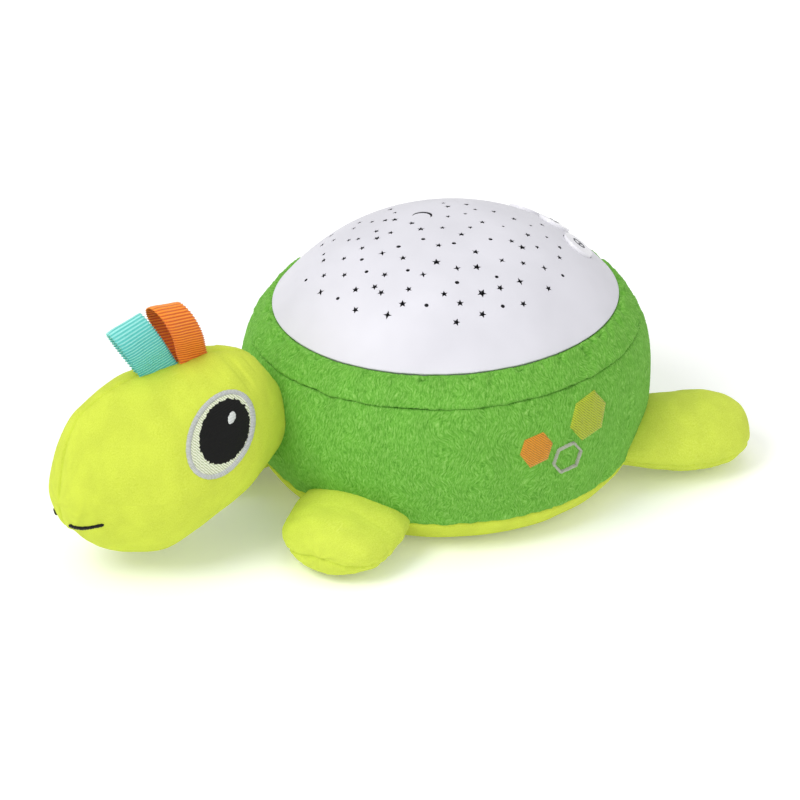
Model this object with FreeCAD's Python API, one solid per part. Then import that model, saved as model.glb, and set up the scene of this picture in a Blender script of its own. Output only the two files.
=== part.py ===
import FreeCAD, Part
import os, math
from FreeCAD import Vector as V

os.makedirs("parts", exist_ok=True)

# ------------------------------------------------------------------ driving sizes (mm)
RX, RY = 70.0, 76.0            # half axes of the dome's rim ellipse (across, head to tail)
R0 = 73.0                      # radius used for the round profiles before they are made elliptic
RIM_Z, DOME_RISE, DOME_POW = 82.0, 33.1, 2.75
DOME_WALL = 2.3
SKIRT_R, SKIRT_Z = 71.9, 72.0
Y_SHIFT = 36.8                 # moves the dome centre so that the frame origin is under the middle of the whole toy
HOLE_R = (0.95, 1.1, 1.3)      # light holes, as round bores of the stars' and dots' size
BUTTON_X = 20.0                # spacing of the three buttons
BUTTON_R, BUTTON_GAP = 7.3, 0.3
BUTTON_TRAVEL = 0.8
FABRIC = 2.2                   # pile fabric with its backing
CLEAR = 0.6                    # air between the body and the sewn-on limbs
DOOR = dict(x=26.0, y0=-33.5, y1=31.5, z0=2.5, z1=4.1)
SCREW_Y = -30.2
HEAD_PIVOT = (-84.0, 50.0)     # y, z of the neck's bending line
HEAD_NOD = (-3.0, 12.0)
FLIP_LIFT = 12.0


# ------------------------------------------------------------------ helpers
def ell(shape):
    """round shape about the dome's axis -> elliptic one"""
    m = FreeCAD.Matrix()
    m.A11 = RX / R0
    m.A22 = RY / R0
    return shape.transformGeometry(m)


def rev(segs, elliptic=True):
    """closed profile of (r, z) runs, turned about Z. A run is a list of points;
    three or more points in a tuple make a smooth curve, a list makes straight lines"""
    edges = []
    last = None
    first = None
    for run in segs:
        pts = [V(p[0], 0, p[1]) for p in run]
        if last is not None and (pts[0] - last).Length > 1e-6:
            edges.append(Part.makeLine(last, pts[0]))
        if isinstance(run, tuple) and len(pts) > 2:
            c = Part.BSplineCurve()
            c.interpolate(pts)
            edges.append(c.toShape())
        else:
            for a, b in zip(pts, pts[1:]):
                edges.append(Part.makeLine(a, b))
        if first is None:
            first = pts[0]
        last = pts[-1]
    if (last - first).Length > 1e-6:
        edges.append(Part.makeLine(last, first))
    f = Part.Face(Part.Wire(edges))
    s = f.revolve(V(0, 0, 0), V(0, 0, 1), 360)
    if s.ShapeType != "Solid":
        s = Part.Solid(s) if s.ShapeType == "Shell" else s.Solids[0]
    if s.Volume < 0:
        s.reverse()
    return ell(s) if elliptic else s


def dome_z(x, y):
    r = math.hypot(x / RX, y / RY)
    return RIM_Z + DOME_RISE * (1 - min(r, 1.2) ** DOME_POW)


def dome_profile(off, rmax, n=11):
    out = []
    for i in range(n):
        r = rmax * i / (n - 1)
        out.append((r, RIM_Z + DOME_RISE * (1 - (r / R0) ** DOME_POW) + off))
    return out


def cyl(r, h, p, d=(0, 0, 1)):
    return Part.makeCylinder(r, h, V(*p), V(*d))


def box(x0, x1, y0, y1, z0, z1):
    return Part.makeBox(x1 - x0, y1 - y0, z1 - z0, V(x0, y0, z0))


def rbox(hx, hy, z0, z1, r, cx=0.0, cy=0.0):
    """block with rounded upright corners"""
    b = box(cx - hx, cx + hx, cy - hy, cy + hy, z0, z1)
    ed = [e for e in b.Edges if abs(e.Vertexes[0].Z - e.Vertexes[1].Z) > 0.5 * (z1 - z0)]
    return b.makeFillet(r, ed)


def comp(lst):
    return Part.makeCompound(lst)


def tube(points, r):
    """round wire along straight runs joined by tangent arcs"""
    P = [V(*p) for p in points]
    edges = []
    start = P[0]
    for i in range(1, len(P) - 1):
        a, b, c = P[i - 1], P[i], P[i + 1]
        u = (b - a).normalize()
        w = (c - b).normalize()
        turn = u.getAngle(w)
        if turn < 1e-4:
            continue
        t = 0.45 * min((b - a).Length, (c - b).Length)
        R = t / math.tan(turn / 2)
        s, e = b - u * t, b + w * t
        bis = (w - u).normalize()
        mid = b + bis * (R / math.cos(turn / 2) - R)
        edges.append(Part.LineSegment(start, s).toShape())
        edges.append(Part.Arc(s, mid, e).toShape())
        start = e
    edges.append(Part.LineSegment(start, P[-1]).toShape())
    path = Part.Wire(edges)
    prof = Part.Wire([Part.Circle(P[0], P[1] - P[0], r).toShape()])
    return path.makePipeShell([prof], True, True), path.Length


SHAPES = {}


def put(name, shape):
    SHAPES[name] = shape


# ------------------------------------------------------------------ button axis
BUTTON_Y = 56.0                                # where the middle button sits
NY = DOME_RISE * DOME_POW * (BUTTON_Y / RY) ** (DOME_POW - 1) / RY
_l = math.hypot(NY, 1.0)
N = V(0, NY / _l, 1 / _l)                      # the way the buttons travel, outwards
BUTTONS = {"power": -BUTTON_X, "colour": 0.0, "timer": BUTTON_X}
S0 = V(0, BUTTON_Y, dome_z(0, BUTTON_Y))


def on_axis(x, depth):
    """point on a button's axis: x across, depth along N from the plane through the middle button's top"""
    return V(x, S0.y, S0.z) + N * depth


# ------------------------------------------------------------------ dome with its light holes
inner_r = 66.0
inner = tuple(reversed(dome_profile(-DOME_WALL, inner_r)))
dome = rev([tuple(dome_profile(0, SKIRT_R)),
            [(SKIRT_R, SKIRT_Z), (69.9, SKIRT_Z), (69.9, 81.0)],
            inner])
BOSS = [(42.0, 44.0), (-42.0, 44.0), (42.0, -44.0), (-42.0, -44.0)]
posts = []
for x, y in BOSS:
    posts.append(cyl(4.0, dome_z(x, y) - 1.4 - SKIRT_Z, (x, y, SKIRT_Z)))
BPOST = 31.0
for s in (-1, 1):
    p = on_axis(s * BPOST, -15.0)
    posts.append(cyl(2.6, 13.0, (p.x, p.y, p.z), N))
trim = rev([tuple(dome_profile(-1.0, 69.5)), [(69.5, 60.0), (0, 60.0)]])
posts = [p.common(trim) for p in posts]
dome = dome.fuse(posts[0].fuse(posts[1:]))
cuts = []
for x, y in BOSS:
    cuts.append(cyl(1.2, 12.0, (x, y, SKIRT_Z - 1)))
for s in (-1, 1):
    p = on_axis(s * BPOST, -16.0)
    cuts.append(cyl(1.0, 8.0, (p.x, p.y, p.z), N))
for x in BUTTONS.values():
    p = on_axis(x, -9.0)
    cuts.append(cyl(BUTTON_R + BUTTON_GAP, 16.0, (p.x, p.y, p.z), N))
# crescent slot beside the crown
moon_c = (-14.2, -3.6)
m1 = cyl(5.2, 12, (moon_c[0], moon_c[1], 108))
m2 = cyl(4.8, 12, (moon_c[0] + 1.8, moon_c[1] - 2.4, 108))
cuts.append(m1.cut(m2))


# light holes: place on the dome and size (0 dot, 1 small star, 2 large star)
HOLES = [
    (1.6, -3.1, 1), (-2.6, -11.3, 2), (11, 0.3, 2), (7.5, 7.1, 0), (-5, 13, 0), (-6.4, 5, 0), (-9.9, -11.1, 2),
    (5.5, -15.4, 1), (13.5, -12.9, 1), (15.6, -6.6, 1), (19.7, 9.2, 1), (5.6, 14.6, 1), (-7.4, 19.7, 0), (-16.2, 11.5, 2),
    (-26.1, -9.1, 0), (-18.6, -14.1, 2), (-21.7, -16.9, 1), (-15.4, -25.4, 1), (-8.8, -22.5, 1), (-9.7, -28.8, 2), (3.5, -26.5, 1),
    (11.5, -29.5, 2), (22.5, -20, 2), (25.1, -2, 2), (23.5, 17.4, 1), (12, 21, 0), (6.1, 30.7, 1), (-2.6, 26.2, 1),
    (-14.7, 20.2, 1), (-21.6, 12.8, 0), (-33.5, -6.7, 2), (-26.5, -20.5, 0), (-30.2, -27.4, 0), (-21.4, -35.5, 0), (-17.4, -33.3, 0),
    (-8.9, -36.7, 1), (-2, -41.3, 1), (2.1, -33.7, 1), (19.1, -32, 0), (25.1, -28.3, 1), (30, -14.6, 1), (33.1, -6.8, 2),
    (33.5, 5.6, 1), (36.9, 14.1, 1), (28.2, 19.6, 2), (28.5, 27.1, 0), (20.1, 28.1, 2), (12.2, 35.2, 0), (-21.4, 35.5, 0),
    (-36.9, 14.1, 1), (-44.8, -7.1, 2), (-33.7, -22.3, 1), (-31.9, -36.5, 0), (-10.7, -44.7, 1), (-1.4, -50.4, 1), (6.2, -44.2, 1),
    (15.8, -46.3, 2), (14, -40.2, 1), (20.2, -46, 2), (27.2, -36.9, 1), (37.7, -26.2, 1), (36.1, -18.7, 1), (44.5, -11.9, 2),
    (45.2, -3.2, 2), (40.4, -1.7, 0), (44.8, 7.1, 2), (40.1, 22.8, 1), (33.9, 35, 1), (27.1, 39.9, 1), (21, 37.4, 0),
    (9.8, 42.7, 1), (-33.7, 22.3, 1), (-40.4, 1.7, 0), (-53.3, -3, 2), (-49.1, -18.7, 1), (-42.1, -31.4, 2), (-37.2, -39.2, 2),
    (-25.8, -45.4, 0), (-21.1, -48.4, 1), (-11.4, -54.3, 1), (-4.8, -60.1, 2), (6.1, -58.4, 0), (9.9, -52, 2), (17.4, -56.9, 2),
    (29.9, -49.1, 2), (30.7, -42.2, 2), (37.5, -34.8, 1), (49.2, -27.7, 2), (44.1, -22.5, 2), (51.5, -16.3, 2), (51.9, -6.4, 1),
    (53.3, 3, 2), (49.1, 18.7, 1), (43.3, 30.1, 0), (-37.2, 39.2, 2), (-42.1, 31.4, 2), (-49.1, 18.7, 1), (-51.9, 6.4, 1),
    (-19.9, -58, 1)]
for x, y, k in HOLES:
    cuts.append(cyl(HOLE_R[k], 10, (x, y, dome_z(x, y) - 6.0)))
dome = dome.cut(cuts)
put("dome_shell", dome)

# ------------------------------------------------------------------ buttons, each a cap with its stem
skin_proud = rev([tuple(dome_profile(1.5, 72.0)), [(72.0, 60.0), (0, 60.0)]])
for name, x in BUTTONS.items():
    low = -7.2 if x == 0 else -9.4             # the outer flanges sit lower, where the dome curves away
    a = on_axis(x, low + 0.7)
    cap = cyl(BUTTON_R, 16.0, (a.x, a.y, a.z), N).common(skin_proud)
    f = on_axis(x, low)
    cap = cap.fuse([cyl(8.2, 1.3, (f.x, f.y, f.z), N)])
    s = on_axis(x, -10.0)
    cap = cap.fuse([cyl(2.0, 3.0, (s.x, s.y, s.z), N)])
    put(name + "_button_cap", cap)
    q = on_axis(x, -13.0)
    put(name + "_switch_plunger", cyl(1.6, 3.0, (q.x, q.y, q.z), N))
frame_pl = FreeCAD.Placement(on_axis(0, -15.0), FreeCAD.Rotation(V(0, 0, 1), N))


def local(shape):
    """shape drawn with the button board's top as its XY plane"""
    s = shape.copy()
    s.Placement = frame_pl.multiply(s.Placement)
    return s


switches = []
for s in (-1, 0, 1):
    b = Part.makeBox(6.2, 6.2, 3.9, V(s * BUTTON_X - 3.1, -3.1, 0))
    b = b.cut(cyl(1.7, 4.0, (s * BUTTON_X, 0, 1.1)))
    switches.append(local(b))
put("switch_bodies", comp(switches))
bb = Part.makeBox(68.0, 15.0, 1.6, V(-34.0, -7.5, -1.6))
for s in (-1, 1):
    bb = bb.cut(cyl(1.1, 4.0, (s * BPOST, 0, -3.0)))
put("button_board", local(bb))
bsc = []
for s in (-1, 1):
    c = cyl(2.0, 1.2, (s * BPOST, 0, -2.8)).fuse([cyl(0.92, 7.2, (s * BPOST, 0, -1.7))])
    bsc.append(local(c))
put("button_board_screws", comp(bsc))

# ------------------------------------------------------------------ lower housing with the battery box
housing = rev([[(0, 2.4), (50, 2.4), (58, 6), (64, 20), (66, 66), (71.9, 66), (71.9, 71.9),
                (63.8, 71.9), (63.8, 66), (61.8, 20), (56.2, 8.2), (49, 5.4), (0, 5.4)]])
adds = [box(-26.0, 26.0, -28.5, 32.5, 5.2, 24.0)]
for x, y in BOSS:
    adds.append(cyl(4.6, 66.7, (x, y, 5.2)))
adds.append(cyl(4.2, 8.0, (0, SCREW_Y, 4.2)))
inside_tub = rev([[(0, 3.0), (50, 3.0), (57.5, 6.6), (63.0, 20), (64.9, 71.9), (0, 71.9)]])
adds = [a.common(inside_tub) for a in adds]
housing = housing.fuse(adds[0].fuse(adds[1:]))
hc = [box(-24.0, 24.0, -26.5, 30.5, 1.0, 22.0),
      rbox(26.4, 33.35, 1.0, 4.2, 1.2, 0, -0.65),
      cyl(1.8, 8.0, (0, SCREW_Y, 1.0)),
      cyl(0.85, 57.2, (-28.6, DOOR["y1"], 3.3), (1, 0, 0)),
      box(12.0, 16.0, 29.2, 30.5, 20.0, 26.0), box(-16.0, -12.0, 29.2, 30.5, 20.0, 26.0)]
for x, y in BOSS:
    hc.append(cyl(3.4, 58.6, (x, y, 1.0)))
    hc.append(cyl(1.6, 80.0, (x, y, 1.0)))
for s in (-1, 1):
    hc.append(cyl(1.0, 6.0, (s * 16.0, 0, 20.5)))
housing = housing.cut(hc)
put("base_housing", housing)

ds = []
for x, y in BOSS:
    ds.append(cyl(2.9, 2.2, (x, y, 57.3)).fuse([cyl(1.12, 22.0, (x, y, 59.4))]))
put("dome_screws", comp(ds))

# battery door on two snap pins, held shut by one screw
d = box(-DOOR["x"], DOOR["x"], DOOR["y0"], DOOR["y1"], DOOR["z0"], DOOR["z1"])
d = d.fuse([cyl(0.8, 2 * DOOR["x"], (-DOOR["x"], DOOR["y1"], 3.3), (1, 0, 0)),
            cyl(0.78, 56.2, (-28.1, DOOR["y1"], 3.3), (1, 0, 0))])
ribs = [box(-20.0, 20.0, yy, yy + 1.2, DOOR["z1"], DOOR["z1"] + 1.0) for yy in (-18.0, 2.0, 20.0)]
d = d.fuse(ribs)
d = d.cut([cyl(2.8, 1.2, (0, SCREW_Y, 2.4)), cyl(1.38, 4.0, (0, SCREW_Y, 2.0)),
           box(-7.0, 7.0, 24.0, 25.0, 2.0, 2.9), box(-7.0, 7.0, 21.6, 22.6, 2.0, 2.9), box(-7.0, 7.0, 19.2, 20.2, 2.0, 2.9)])
put("battery_door", d)
sc = cyl(2.6, 1.0, (0, SCREW_Y, 2.55)).fuse([cyl(1.3, 5.4, (0, SCREW_Y, 3.5))])
sc = sc.cut([box(-1.9, 1.9, SCREW_Y - 0.35, SCREW_Y + 0.35, 2.0, 3.1), box(-0.35, 0.35, SCREW_Y - 1.9, SCREW_Y + 1.9, 2.0, 3.1)])
put("door_screw", sc)

cells = []
for i, x in enumerate((-15.6, 0.0, 15.6)):
    if i % 2 == 0:
        c = cyl(7.1, 48.6, (x, -24.0, 13.3), (0, 1, 0)).fuse([cyl(2.7, 1.6, (x, 24.5, 13.3), (0, 1, 0))])
    else:
        c = cyl(7.1, 48.6, (x, -22.0, 13.3), (0, 1, 0)).fuse([cyl(2.7, 1.6, (x, -23.5, 13.3), (0, 1, 0))])
    cells.append(c)
put("battery_cells", comp(cells))
con = []
for x0, x1 in ((-21.0, -10.2), (-5.4, 21.0)):
    con.append(box(x0, x1, -26.4, -26.0, 7.0, 19.0))
for x0, x1 in ((-21.0, 5.4), (10.2, 21.0)):
    con.append(box(x0, x1, 29.9, 30.3, 7.0, 19.0))
con[2] = con[2].fuse([box(-15.2, -12.8, 29.9, 30.3, 18.0, 25.5)])
con[3] = con[3].fuse([box(12.8, 15.2, 29.9, 30.3, 18.0, 25.5)])
put("battery_contacts", comp(con))
spr = []
for x, y, s in ((-15.6, -25.9, 1), (15.6, -25.9, 1), (0.0, 29.8, -1)):
    a = V(x, y, 13.3)
    prev = None
    for j, rr in enumerate((4.6, 4.0, 3.4)):
        t = Part.makeTorus(rr, 0.32, a + V(0, s * (0.35 + 0.62 * j), 0), V(0, 1, 0))
        prev = t if prev is None else prev.fuse([t])
    for j, ang in enumerate((0, 120, 240)):
        ca, sa = math.cos(math.radians(ang)), math.sin(math.radians(ang))
        p0 = a + V(4.6 * ca, s * 0.35, 4.6 * sa)
        p1 = a + V(3.4 * ca, s * 1.59, 3.4 * sa)
        w = p1 - p0
        prev = prev.fuse([Part.makeCylinder(0.25, w.Length, p0, w)])
    spr.append(prev)
put("battery_springs", comp(spr))

# ------------------------------------------------------------------ light engine on its pedestal
ped = cyl(20.0, 2.0, (0, 0, 24.0)).fuse([cyl(12.0, 34.2, (0, 0, 25.8))])
ped = ped.cut([cyl(10.0, 40.0, (0, 0, 23.0))])
pl = []
for a in (0, 180):
    ca, sa = math.cos(math.radians(a)), math.sin(math.radians(a))
    pl.append(cyl(2.8, 34.0, (9.0 * ca, 9.0 * sa, 26.0)))
ped = ped.fuse(pl)
pc = []
for s in (-1, 1):
    pc.append(cyl(0.95, 8.0, (s * 9.0, 0, 53.0)))
    pc.append(cyl(1.3, 4.0, (s * 16.0, 0, 23.0)))
ped = ped.cut(pc)
put("led_pedestal", ped)
lb = cyl(17.0, 1.6, (0, 0, 60.0))
lb = lb.cut([cyl(1.2, 4.0, (s * 9.0, 0, 59.0)) for s in (-1, 1)])
put("led_board", lb)
for name, ang in (("led_blue", 90.0), ("led_green", 210.0), ("led_amber", 330.0)):
    ca, sa = math.cos(math.radians(ang)), math.sin(math.radians(ang))
    x, y = 5.5 * ca, 5.5 * sa
    e = cyl(2.9, 1.0, (x, y, 61.6)).fuse([cyl(2.45, 4.6, (x, y, 62.0)), Part.makeSphere(2.45, V(x, y, 66.6))])
    put(name, e)
ls = []
for s in (-1, 1):
    ls.append(cyl(2.0, 1.2, (s * 9.0, 0, 61.6)).fuse([cyl(0.9, 6.8, (s * 9.0, 0, 54.9))]))
    ls.append(cyl(2.2, 1.2, (s * 16.0, 0, 26.0)).fuse([cyl(0.92, 4.6, (s * 16.0, 0, 21.5))]))
put("light_engine_screws", comp(ls))

leads = []
for s in (-1, 1):
    t, L = tube([(s * 14.0, 30.1, 25.5), (s * 14.0, 30.1, 33.5), (s * 12.6, 23.0, 44.0), (s * 9.0, 13.2, 51.5), (s * 9.0, 12.6, 60.0)], 0.7)
    print("battery lead", round(L, 1), round(t.Volume / (math.pi * 0.49 * L), 4))
    leads.append(t)
put("battery_leads", comp(leads))
U = on_axis(0, -16.6)
cab = []
for s in (-1, 0, 1):
    x = 1.7 * s
    e = U - N * 8.0
    t, L = tube([(x, 13.5, 61.6), (x, 13.5, 69.6), (x, 21.5, 76.5), (x, e.y - 4.0, e.z - 3.6), (x, U.y, U.z)], 0.7)
    print("button cable", round(L, 1), round(t.Volume / (math.pi * 0.49 * L), 4))
    cab.append(t)
put("button_cable", comp(cab))

# ------------------------------------------------------------------ sewn body round the housing
put("collar_elastic", rev([[(72.3, 74.8), (73.7, 74.8), (73.7, 80.0), (72.3, 80.0)]]))
put("collar_panel", rev([((72.3, 83.9), (73.3, 84.5), (74.8, 83.1), (76.8, 79.5), (80.0, 74.5), (82.4, 70.2)),
                         [(82.4, 70.2), (80.0, 70.2), (77.6, 73.0), (75.2, 75.5), (74.0, 80.2), (72.3, 80.4)]]))
put("side_panel", rev([((82.5, 69.9), (84.7, 65), (87.2, 56), (88.0, 46), (87.0, 36), (84.5, 27), (81.2, 20), (79.2, 17.1)),
                       [(77.0, 17.1)],
                       ((77.0, 17.1), (79.0, 20), (82.3, 27), (84.8, 36), (85.8, 46), (85.0, 56), (82.5, 65), (80.3, 69.9))]))
under = rev([((79.1, 16.8), (76.2, 12), (71.8, 7), (65.5, 2.9), (58.0, 0.6), (52.0, -0.5)),
             [(52.0, -0.5), (0, -0.5), (0, 2.2), (52.0, 2.2)],
             ((52.0, 2.2), (57.8, 2.8), (64.6, 5.0), (70.2, 8.7), (74.2, 13.0), (76.8, 16.8))])
under = under.cut([box(-90, 90, -90, 90, -5, 0)])
HX, HY, HCY = 30.0, 37.6, -0.8
under = under.cut([rbox(HX, HY, -1, 4, 5.0, 0, HCY)])
put("underside_panel", under)
bind = rbox(HX - 0.1, HY - 0.1, 0.15, 2.2, 5.0, 0, HCY).cut([rbox(HX - 2.4, HY - 2.4, -1, 4, 3.0, 0, HCY)])
put("opening_binding", bind)
put("body_stuffing", rev([[(80.0, 69.6)], ((80.0, 69.6), (82.2, 65), (84.7, 56), (85.5, 46), (84.5, 36), (82.0, 27), (78.7, 20), (76.4, 17.0), (73.9, 13.2), (69.9, 8.9), (64.3, 5.3), (58.6, 3.2)),
                          [(58.6, 3.2), (57.0, 3.2), (58.5, 6.0), (64.4, 20), (66.3, 65.7), (72.2, 65.7), (72.2, 69.6)]]))


# ------------------------------------------------------------------ limbs: lofted covers with their filling
def sup_wire(cx, cy, cz, ax, w, hu, hd, power=2.0, m=20):
    """closed smooth section: ax is the unit direction of the width, in the ground plane"""
    pts = []
    for i in range(m):
        a = 2 * math.pi * i / m
        c, s = math.cos(a), math.sin(a)
        u = w * math.copysign(abs(c) ** (2.0 / power), c)
        h = (hu if s > 0 else hd) * math.copysign(abs(s) ** (2.0 / power), s)
        pts.append(V(cx + ax[0] * u, cy + ax[1] * u, cz + h))
    c = Part.BSplineCurve()
    c.interpolate(pts, PeriodicFlag=True)
    return Part.Wire([c.toShape()])


def loft(wires):
    s = Part.makeLoft(wires, True, False)
    if s.Volume < 0:
        s.reverse()
    return s


HEAD = [  # y, centre z, half height up, half height down, half width
    (-90.0, 54.5, 27.0, 23.0, 18.0), (-97, 52.7, 33.5, 26.8, 20.0), (-105, 52.1, 35.2, 28.4, 26.5), (-115, 51.1, 37.3, 30.6, 32.5),
    (-125, 49.4, 39.3, 32.6, 34.9), (-137, 45.9, 42.5, 35.8, 34.4), (-150, 42.9, 44.3, 37.6, 33.0), (-162, 42.8, 41.9, 35.1, 28.1),
    (-172, 43.1, 37.7, 30.9, 22.2), (-179, 43.7, 32.6, 25.8, 18.2), (-184.5, 42.8, 25.2, 18.5, 14.9), (-188, 39.6, 17.9, 12.4, 12.2),
    (-189.6, 38.7, 10.0, 7.0, 8.2)]


def head_body(inset):
    ws = []
    for i, (y, zc, hu, hd, hw) in enumerate(HEAD):
        yy = y + (inset if i == len(HEAD) - 1 else 0) - (inset if i == 0 else 0)
        k = inset * (1.0 if i < 8 else 1.3)
        ws.append(sup_wire(0, yy, zc, (1, 0), max(hw - k, 3), max(hu - k, 3), max(hd - k, 3), 1.7))
    return loft(ws)


def head_room():
    """two planes through the neck line keep the back of the head clear at both ends of the nod"""
    py, pz = HEAD_PIVOT
    out = []
    for a in (HEAD_NOD[0] - 0.5, HEAD_NOD[1] + 0.5):
        b = box(-60, 60, 0, 60, -90, 90)
        b.translate(V(0, -8.6, 0))
        b.rotate(V(0, 0, 0), V(1, 0, 0), a)
        b.translate(V(0, py, pz))
        out.append(b)
    return out


room = head_room()
hs_out = head_body(0.0).cut(room)
hs_in = head_body(FABRIC).cut([r for r in room])
hs_in = hs_in.common(box(-60, 60, -200, -97.5, -10, 120))
put("head_cover", hs_out.cut(hs_in))
hs_fill = head_body(FABRIC + 0.15).cut(room).common(box(-60, 60, -200, -97.7, -10, 120))
put("head_stuffing", hs_fill)


def ribbon(base, across, up, wide, thick, bulge):
    """ribbon folded into a loop: a teardrop in the plane of across and up, drawn out along wide"""
    B, X, W = V(*base), V(*across).normalize(), V(*wide)
    H = V(*up)
    h = H.Length
    H.normalize()

    def outline(o):
        b, top = bulge / 2.0 - o, h - o
        foot = 2.0 - o * 0.35
        pts = [(-foot, -2.5), (-b * 0.78, top * 0.36), (-b, top * 0.68), (-b * 0.66, top * 0.93), (0, top),
               (b * 0.66, top * 0.93), (b, top * 0.68), (b * 0.78, top * 0.36), (foot, -2.5)]
        pts = [B + X * a + H * t - W * 0.5 for a, t in pts]
        c = Part.BSplineCurve()
        c.interpolate(pts)
        f = Part.Face(Part.Wire([c.toShape(), Part.makeLine(pts[-1], pts[0])]))
        return f.extrude(W)
    return outline(0.0).cut([outline(thick)])


def above_head(s):
    return s.cut([hs_out])


rt = ribbon((0, -141.9, 87.0), (1, 0, 0), (0, -14.2, 24.6), (0, 15.4, 5.0), 1.1, 9.0)
ro = ribbon((0, -125.8, 87.5), (1, 0.19, 0), (0, -10.9, 27.1), (-3.0, 15.4, -2.8), 1.1, 12.4)
for nm, r in (("ribbon_teal", rt), ("ribbon_orange", ro)):
    r = above_head(r)
    sol = sorted(r.Solids, key=lambda q: -q.Volume)
    put(nm, sol[0] if len(sol) else r)

FLIPPERS = {  # root xy, tip xy, half width, half thickness, height of the root's middle
    "front_left": ((37.1, -67.3), (59.2, -101.7), 25.0, 13.0, 17.4), "rear_left": ((51.0, 64.3), (65.9, 114.9), 24.5, 15.0, 17.7)}
FSTAT = [(0.0, .95, .82), (.12, .98, .92), (.3, 1.01, 1.0), (.5, 1, 1), (.68, .94, .96), (.82, .8, .85), (.92, .58, .66), (.975, .34, .42), (1.0, .1, .14)]


def flipper(root, tip, w, h, z0, inset):
    rx, ry = root
    tx, ty = tip
    L = math.hypot(tx - rx, ty - ry)
    ax = ((tx - rx) / L, (ty - ry) / L)
    nx = (-ax[1], ax[0])
    ws = []
    for i, (t, fw, fh) in enumerate(FSTAT):
        q = t * L + (inset if i == 0 else 0) - (inset if i == len(FSTAT) - 1 else 0)
        zc = z0 + (h + 0.4 - z0) * min(1.0, t / 0.5)
        ws.append(sup_wire(rx + ax[0] * q, ry + ax[1] * q, zc, nx, max(w * fw - inset, 1.6), max(h * fh - inset, 1.0), max(h * fh - inset, 1.0)))
    return loft(ws)


def lift_axis(name):
    """the root seam's tangent: a point on it and its direction (left side)"""
    (rx, ry), (tx, ty), w, h, z0 = FLIPPERS[name]
    L = math.hypot(tx - rx, ty - ry)
    ax = ((tx - rx) / L, (ty - ry) / L)
    return (rx + ax[0] * 6.0, ry + ax[1] * 6.0, 12.0), ax


def body_wedge(cx, cy):
    """faceted stand-in for the body's flank near a limb's root, grown by the clearance"""
    mid = math.atan2(cy / RY, cx / RX)
    step = math.radians(13.0)
    grow = 1.0 / math.cos(step / 2)
    wires = []
    for z, dl in ((-6.0, -19.0), (0.0, -13.0), (3.0, -7.0), (7.0, -0.8), (12.0, 3.4), (17.0, 6.4), (27.0, 11.7), (36.0, 14.1), (50.0, 15.2)):
        a_, b_ = (RX + dl) * grow + CLEAR + 0.6, (RY + dl) * grow + CLEAR + 0.6
        pts = [V(0, 0, z)]
        for j in range(-3, 4):
            t = mid + (j + 0.0) * step
            pts.append(V(a_ * math.cos(t), b_ * math.sin(t), z))
        pts.append(pts[0])
        wires.append(Part.Wire(Part.makePolygon(pts)))
    return Part.makeLoft(wires, True, True)


for nm in FLIPPERS:
    root, tip, w, h, z0 = FLIPPERS[nm]
    (px, py, pz), ax = lift_axis(nm)
    side = V(ax[1], -ax[0], 0)                 # turning by a positive angle about this lifts the tip
    room = []
    for a in (0.0, FLIP_LIFT + 0.5):
        b = body_wedge(*root)
        b.rotate(V(px, py, pz), side, -a)
        room.append(b)
    outer = flipper(root, tip, w, h, z0, 0.0).cut(room)
    outer = sorted(outer.Solids, key=lambda q: -q.Volume)[0]
    fill = flipper(root, tip, w, h, z0, FABRIC).cut(room)
    fill = sorted(fill.Solids, key=lambda q: -q.Volume)[0]
    cover = outer.cut([fill])
    cover = sorted(cover.Solids, key=lambda q: -q.Volume)[0]
    core = flipper(root, tip, w, h, z0, FABRIC + 0.15).cut(room)
    core = sorted(core.Solids, key=lambda q: -q.Volume)[0]
    put(nm + "_flipper_cover", cover)
    put(nm + "_flipper_stuffing", core)
    other = nm.replace("left", "right")
    put(other + "_flipper_cover", cover.mirror(V(0, 0, 0), V(1, 0, 0)))
    put(other + "_flipper_stuffing", core.mirror(V(0, 0, 0), V(1, 0, 0)))
    print(nm, "lift line", (round(px, 2), round(py + Y_SHIFT, 2), pz), "direction", (round(side.x, 4), round(side.y, 4)))

# ------------------------------------------------------------------ output
lo, hi = V(1e9, 1e9, 1e9), V(-1e9, -1e9, -1e9)
for name, s in SHAPES.items():
    s = s.copy()
    s.translate(V(0, Y_SHIFT, 0))
    bb_ = s.optimalBoundingBox(True, False) if hasattr(s, "optimalBoundingBox") else s.BoundBox
    lo = V(min(lo.x, bb_.XMin), min(lo.y, bb_.YMin), min(lo.z, bb_.ZMin))
    hi = V(max(hi.x, bb_.XMax), max(hi.y, bb_.YMax), max(hi.z, bb_.ZMax))
    ok = s.isValid()
    print("%-28s solids %d vol %9.1f valid %s" % (name, len(s.Solids), s.Volume, ok))
    s.exportStep("parts/%s.step" % name)
print("whole box", [round(v, 2) for v in (lo.x, lo.y, lo.z, hi.x, hi.y, hi.z)], "y centre", round((lo.y + hi.y) / 2, 3))
print("button axis", [round(v, 4) for v in (N.x, N.y, N.z)], "S0", S0)
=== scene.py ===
import bpy, math, random
import numpy as np
from mathutils import Vector, Matrix
from mathutils.bvhtree import BVHTree
from mathutils.geometry import delaunay_2d_cdt


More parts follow.
